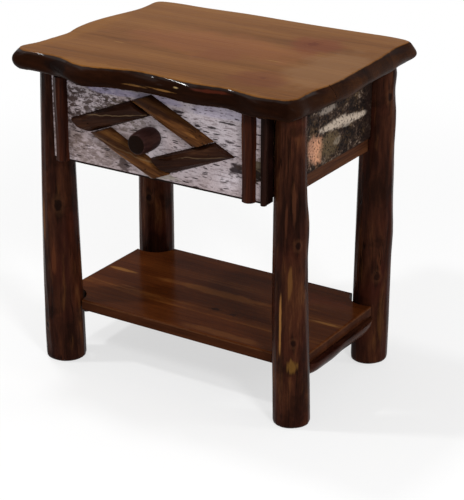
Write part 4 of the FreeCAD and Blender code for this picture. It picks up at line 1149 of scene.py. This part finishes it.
# %% Birch bark finish
DARK_SKIN, GREY_SKIN, INK = (64, 50, 46), (104, 88, 82), (40, 30, 32)
BIRCH_PLACE = -0.2
BIRCH_PATCHES = [
    (-0.165, 0.585, 0.150, 0.060, DARK_SKIN, 0.9, 120.0),
    (-0.205, 0.540, 0.060, 0.080, DARK_SKIN, 0.75, 120.0),
    (-0.150, 0.478, 0.100, 0.040, GREY_SKIN, 0.7, 120.0),
    # The two pale lavender bands just under the top are painted reflected light.
    (-0.06, 0.607, 0.17, 0.009, (160, 152, 178), 0.7, 30.0),
    (0.15, 0.605, 0.10, 0.014, (172, 166, 190), 0.5, 30.0),
    (-0.070, 0.560, 0.075, 0.040, (84, 70, 54), 0.6, 120.0),
    (-0.074, 0.466, 0.018, 0.020, DARK_SKIN, 0.85, 220.0),
    (0.174, 0.504, 0.017, 0.017, INK, 0.95, 160.0),
    (0.186, 0.510, 0.016, 0.007, DARK_SKIN, 0.8, 160.0),
    (0.050, 0.591, 0.018, 0.0040, INK, 0.95, 220.0),
    (0.052, 0.586, 0.010, 0.0026, INK, 0.95, 220.0),
    (0.091, 0.572, 0.010, 0.0030, INK, 0.95, 220.0),
    (0.088, 0.566, 0.014, 0.0026, INK, 0.95, 220.0),
    (0.01, 0.461, 0.045, 0.010, (126, 122, 96), 0.5, 140.0),
    (0.126, 0.574, 0.020, 0.0032, INK, 0.95, 140.0),
    (0.10, 0.535, 0.014, 0.0026, INK, 0.9, 140.0),
    (0.155, 0.588, 0.022, 0.0024, INK, 0.9, 140.0),
    (0.162, 0.553, 0.014, 0.0026, INK, 0.9, 140.0),
    (0.221, 0.512, 0.020, 0.030, (70, 58, 34), 0.9, 220.0),
    (0.220, 0.502, 0.012, 0.016, (26, 18, 14), 0.9, 220.0),
]
BIRCH_KNOTS = [(0.174, 0.504), (0.221, 0.508)]


def birch_finish():
    """Pale bark with breathing marks, patches and eyes."""
    material, tree, shader = start_finish("birch_finish", gloss=0.03)
    at = object_place(tree)
    colour = colour_steps(tree, cloud(tree, at, 9.0, 4.0), [
        (0.34, (147, 131, 128)), (0.46, (177, 162, 164)), (0.6, (197, 186, 191))])
    flat = vector_times(tree, at, (0.2, 1.0, 1.0))
    wrinkle = cloud(tree, flat, 260.0)
    colour = over(tree, step_up(tree, wrinkle, 0.48, 0.68), colour, (104, 88, 88), 0.6)
    grit = cloud(tree, at, 330.0, 4.0, 0.7)
    colour = over(tree, step_up(tree, grit, 0.5, 0.66), colour, (88, 74, 76), 0.35)
    rough = cloud(tree, vector_times(tree, at, (0.55, 1.0, 1.0)), 110.0, 5.0, 0.7)
    height = scaled(tree, wrinkle, 0.5, times(tree, grit, 0.3))
    for x, z, wide, tall, paint, strength, scale in BIRCH_PATCHES:
        patch = soft_patch(tree, at, (x, BIRCH_PLACE, z), (wide, 1, tall), Ragged=0.9, Scale=scale,
                           Pull=(0.45, 1.0, 1.0))
        broken = times(tree, patch, strength)
        if wide > 0.05 and tall > 0.015:
            broken = times(tree, broken, scaled(tree, step_up(tree, rough, 0.44, 0.54), 0.9, 0.1))
        colour = over(tree, broken, colour, paint)
    marks = use_group(tree, "breathing_marks", Vector=at, Size=0.40)
    small = use_group(tree, "breathing_marks", Vector=at, Along=90.0, Across=420.0, Size=0.40)
    dark = calc(tree, "MAXIMUM", marks["Mark"], times(tree, small["Mark"], 0.7))
    colour = over(tree, dark, colour, INK, 0.95)
    height = scaled(tree, dark, 0.5, height)
    # Painted shade: the sheet's side faces and its last few millimetres at the right end, by the end strip,
    # are near black. A thin strip along the lower edge is darker too.
    lowest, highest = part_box("drawer_bark")
    place = parts_of(tree, at)
    rim = calc(tree, "MAXIMUM", step_up(tree, place[0], highest.x - 0.0036, highest.x - 0.0028),
               flip(tree, step_up(tree, place[2], lowest.z + 0.0034, lowest.z + 0.0046)))
    cut = calc(tree, "MAXIMUM", step_up(tree, facing(tree)[1], -0.6, -0.3), rim)
    colour = over(tree, cut, colour, (26, 14, 9))
    end_finish(tree, shader, colour, wrinkle, 0.42, 0.62, height, 0.0006)
    return material


# %% Birch bark sheet
WAVE_DEPTH = 0.0004
WRINKLE_DEPTH = 0.0003
RIM_DEPTH = 0.0007
KNOT_HEIGHT = 0.0004


def birch_sheet():
    """The sheet on the drawer front, with shallow relief."""
    lowest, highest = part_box("drawer_bark")
    piece = bark_block("birch_bark_sheet", "drawer_bark", Vector((0, -1, 0)), 150)

    def rule(place, normal):
        if place.y > lowest.y + ON_FACE:
            return Vector()
        wide = swell(place.x * 16, 0, place.z * 45)
        narrow = swell(place.x * 60, 5, place.z * 260)
        knot = sum(bell(math.hypot((place.x - x) / 0.016, (place.z - z) / 0.013)) for x, z in BIRCH_KNOTS)
        rim = 1 - edge_fade(place, lowest, highest, (0, 2), 0.004)
        depth = WAVE_DEPTH * wide + WRINKLE_DEPTH * narrow + RIM_DEPTH * rim - KNOT_HEIGHT * knot
        return Vector((0, depth, 0))

    carve(piece, rule)
    return piece


stand_in(birch_sheet(), birch_finish(), "birch_bark", "drawer", "drawer_bark")

# %% [markdown]
# ## Dark side bark
#
# The sides of the case carry old bark from low on the trunk: grey black and lumpy, with a raised pale
# band where the outer layer flaked off and a warm patch of inner bark near the front leg. Both sheets
# have a straight lower edge here. The solid ones are uneven there, up to 12.5 mm higher. At the right
# the last bit towards the back leg is painted dark, as the leg should hide it and doesn't.

# %% Places on the dark bark
RIGHT_BAND = [(-0.050, 0.5540), (-0.02, 0.553), (0.01, 0.5525), (0.04, 0.549), (0.075, 0.5440),
              (0.108, 0.5425)]
LEFT_BAND = [(-0.10, 0.560), (-0.06, 0.566), (-0.01, 0.556), (0.05, 0.552), (0.09, 0.560)]
BAND_HALF = 0.0060
BAND_TALL = [0.0085, 0.0115, 0.0135, 0.0110, 0.0080]


def band_height(line, along):
    """The middle height of a pale band at a place along the case, or None past its ends."""
    for (first, low), (second, high) in zip(line, line[1:]):
        if first <= along <= second:
            return low + (high - low) * (along - first) / (second - first)
    return None


# %% Dark bark finish
BARK_PLACE = {"right": 0.266, "left": -0.266}
THROUGH = 0.2
BARK_PATCHES = {
    "right": [(-0.030, 0.590, 0.040, 0.011, (140, 128, 118), 0.8),
              (-0.078, 0.524, 0.036, 0.034, (176, 128, 102), 0.85),
              (-0.066, 0.516, 0.020, 0.030, (196, 142, 110), 0.8),
              (-0.026, 0.518, 0.050, 0.030, (92, 76, 54), 0.7),
              (0.040, 0.540, 0.022, 0.006, (150, 138, 126), 0.7),
              (0.004, 0.517, 0.016, 0.010, (130, 118, 104), 0.6)],
    "left": [(0.06, 0.52, 0.03, 0.014, (146, 132, 118), 0.7)],
}


def dark_bark_finish(side, line):
    """Rough bark with its pale band and patches."""
    material, tree, shader = start_finish("dark_bark_finish_" + side, gloss=0.03)
    at = object_place(tree)
    plate = cloud(tree, at, 42.0, 6.0, 0.68)
    grit = cloud(tree, at, 210.0, 4.0, 0.7)
    value = scaled(tree, grit, 0.5, times(tree, plate, 0.5))
    colour = colour_steps(tree, value, [(0.43, (12, 6, 5)), (0.49, (32, 21, 16)), (0.545, (54, 39, 30)),
                                        (0.62, (126, 110, 96))])
    moss = times(tree, step_up(tree, cloud(tree, at, 30.0, 2.0), 0.5, 0.62), 0.35)
    colour = over(tree, times(tree, moss, step_up(tree, value, 0.46, 0.54)), colour, (84, 64, 36))
    breaks = step_up(tree, grit, 0.38, 0.48)
    for index, ((first, low), (second, high)) in enumerate(zip(line, line[1:])):
        centre = (BARK_PLACE[side], (first + second) / 2, (low + high) / 2)
        patch = soft_patch(tree, at, centre, (THROUGH, 0.036, BAND_TALL[index]), Ragged=0.5, Scale=90.0)
        mask = times(tree, patch, times(tree, breaks, 0.92))
        colour = over(tree, mask, colour, (178, 162, 146))
    for y, z, wide, tall, paint, strength in BARK_PATCHES[side]:
        patch = soft_patch(tree, at, (BARK_PLACE[side], y, z), (THROUGH, wide, tall), Ragged=0.6)
        mask = times(tree, patch, times(tree, breaks, strength))
        colour = over(tree, mask, colour, paint)
    if side == "right":
        shade = step_up(tree, scaled(tree, grit, 0.012, parts_of(tree, at)[1]), 0.112, 0.126)
        colour = over(tree, shade, colour, (26, 15, 12), 0.8)
    end_finish(tree, shader, colour, grit, 0.30, 0.7, value, 0.003)
    return material


# %% Dark bark sheets
LUMPS = 0.0042
BAND_LIFT = 0.0022
LOWEST_DENT = -0.0012


def lumpy_sheet(side, line):
    """The bark on one side of the case, with lumps, cracks and its raised band."""
    node = "side_bark_" + side
    lowest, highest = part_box(node)
    way = 1 if side == "right" else -1
    piece = bark_block("lumpy_bark_" + side, node, Vector((way, 0, 0)), 130)
    face = highest.x if way > 0 else lowest.x

    def rule(place, normal):
        if abs(place.x - face) > ON_FACE:
            return Vector()
        big = noise_at(way, place.y * 38, place.z * 48)
        mid = noise_at(way + 3, place.y * 95, place.z * 110)
        fine = noise_at(way + 6, place.y * 240, place.z * 260)
        lift = LUMPS * (0.35 + 0.35 * big + 0.35 * abs(mid) + 0.18 * fine)
        height = band_height(line, place.y)
        if height is not None:
            lift += BAND_LIFT * bell(abs(place.z - height) / (1.4 * BAND_HALF))
        lift *= edge_fade(place, lowest, highest, (1, 2), 0.005)
        return Vector((way * max(lift, LOWEST_DENT), 0, 0))

    carve(piece, rule)
    return piece


for side, line in (("right", RIGHT_BAND), ("left", LEFT_BAND)):
    stand_in(lumpy_sheet(side, line), dark_bark_finish(side, line), "dark_bark", "frame", "side_bark_" + side)

# %% [markdown]
# ## Screws and pins
#
# The screws are plated steel with a fine brushed roughness. The pins are blackened, so that they don't
# stand out on the dark sticks.

# %% Metal finish
def metal_finish(name, gloss, metallic, scale, steps, low, high):
    """Fine brushed metal, rough between low and high."""
    material, tree, shader = start_finish(name, gloss)
    shader.inputs["Metallic"].default_value = metallic
    scratch = cloud(tree, grain_place(tree), scale, 2.0)
    end_finish(tree, shader, colour_steps(tree, scratch, steps), scratch, low, high, scratch, 0.00002)
    return material


PLATED = [(0.3, (150, 148, 142)), (0.7, (196, 194, 188))]
BLACKENED = [(0.3, (24, 14, 9)), (0.7, (44, 28, 18))]
wear(metal_finish("plated_steel", 0.5, 1.0, 900.0, PLATED, 0.28, 0.45), "top_screws", "shelf_screws",
     "guide_screws", "runner_screws", "stop_screw", "knob_screw")
wear(metal_finish("blackened_steel", 0.1, 0.6, 700.0, BLACKENED, 0.5, 0.7), "stick_pins", "drawer_box_pins")
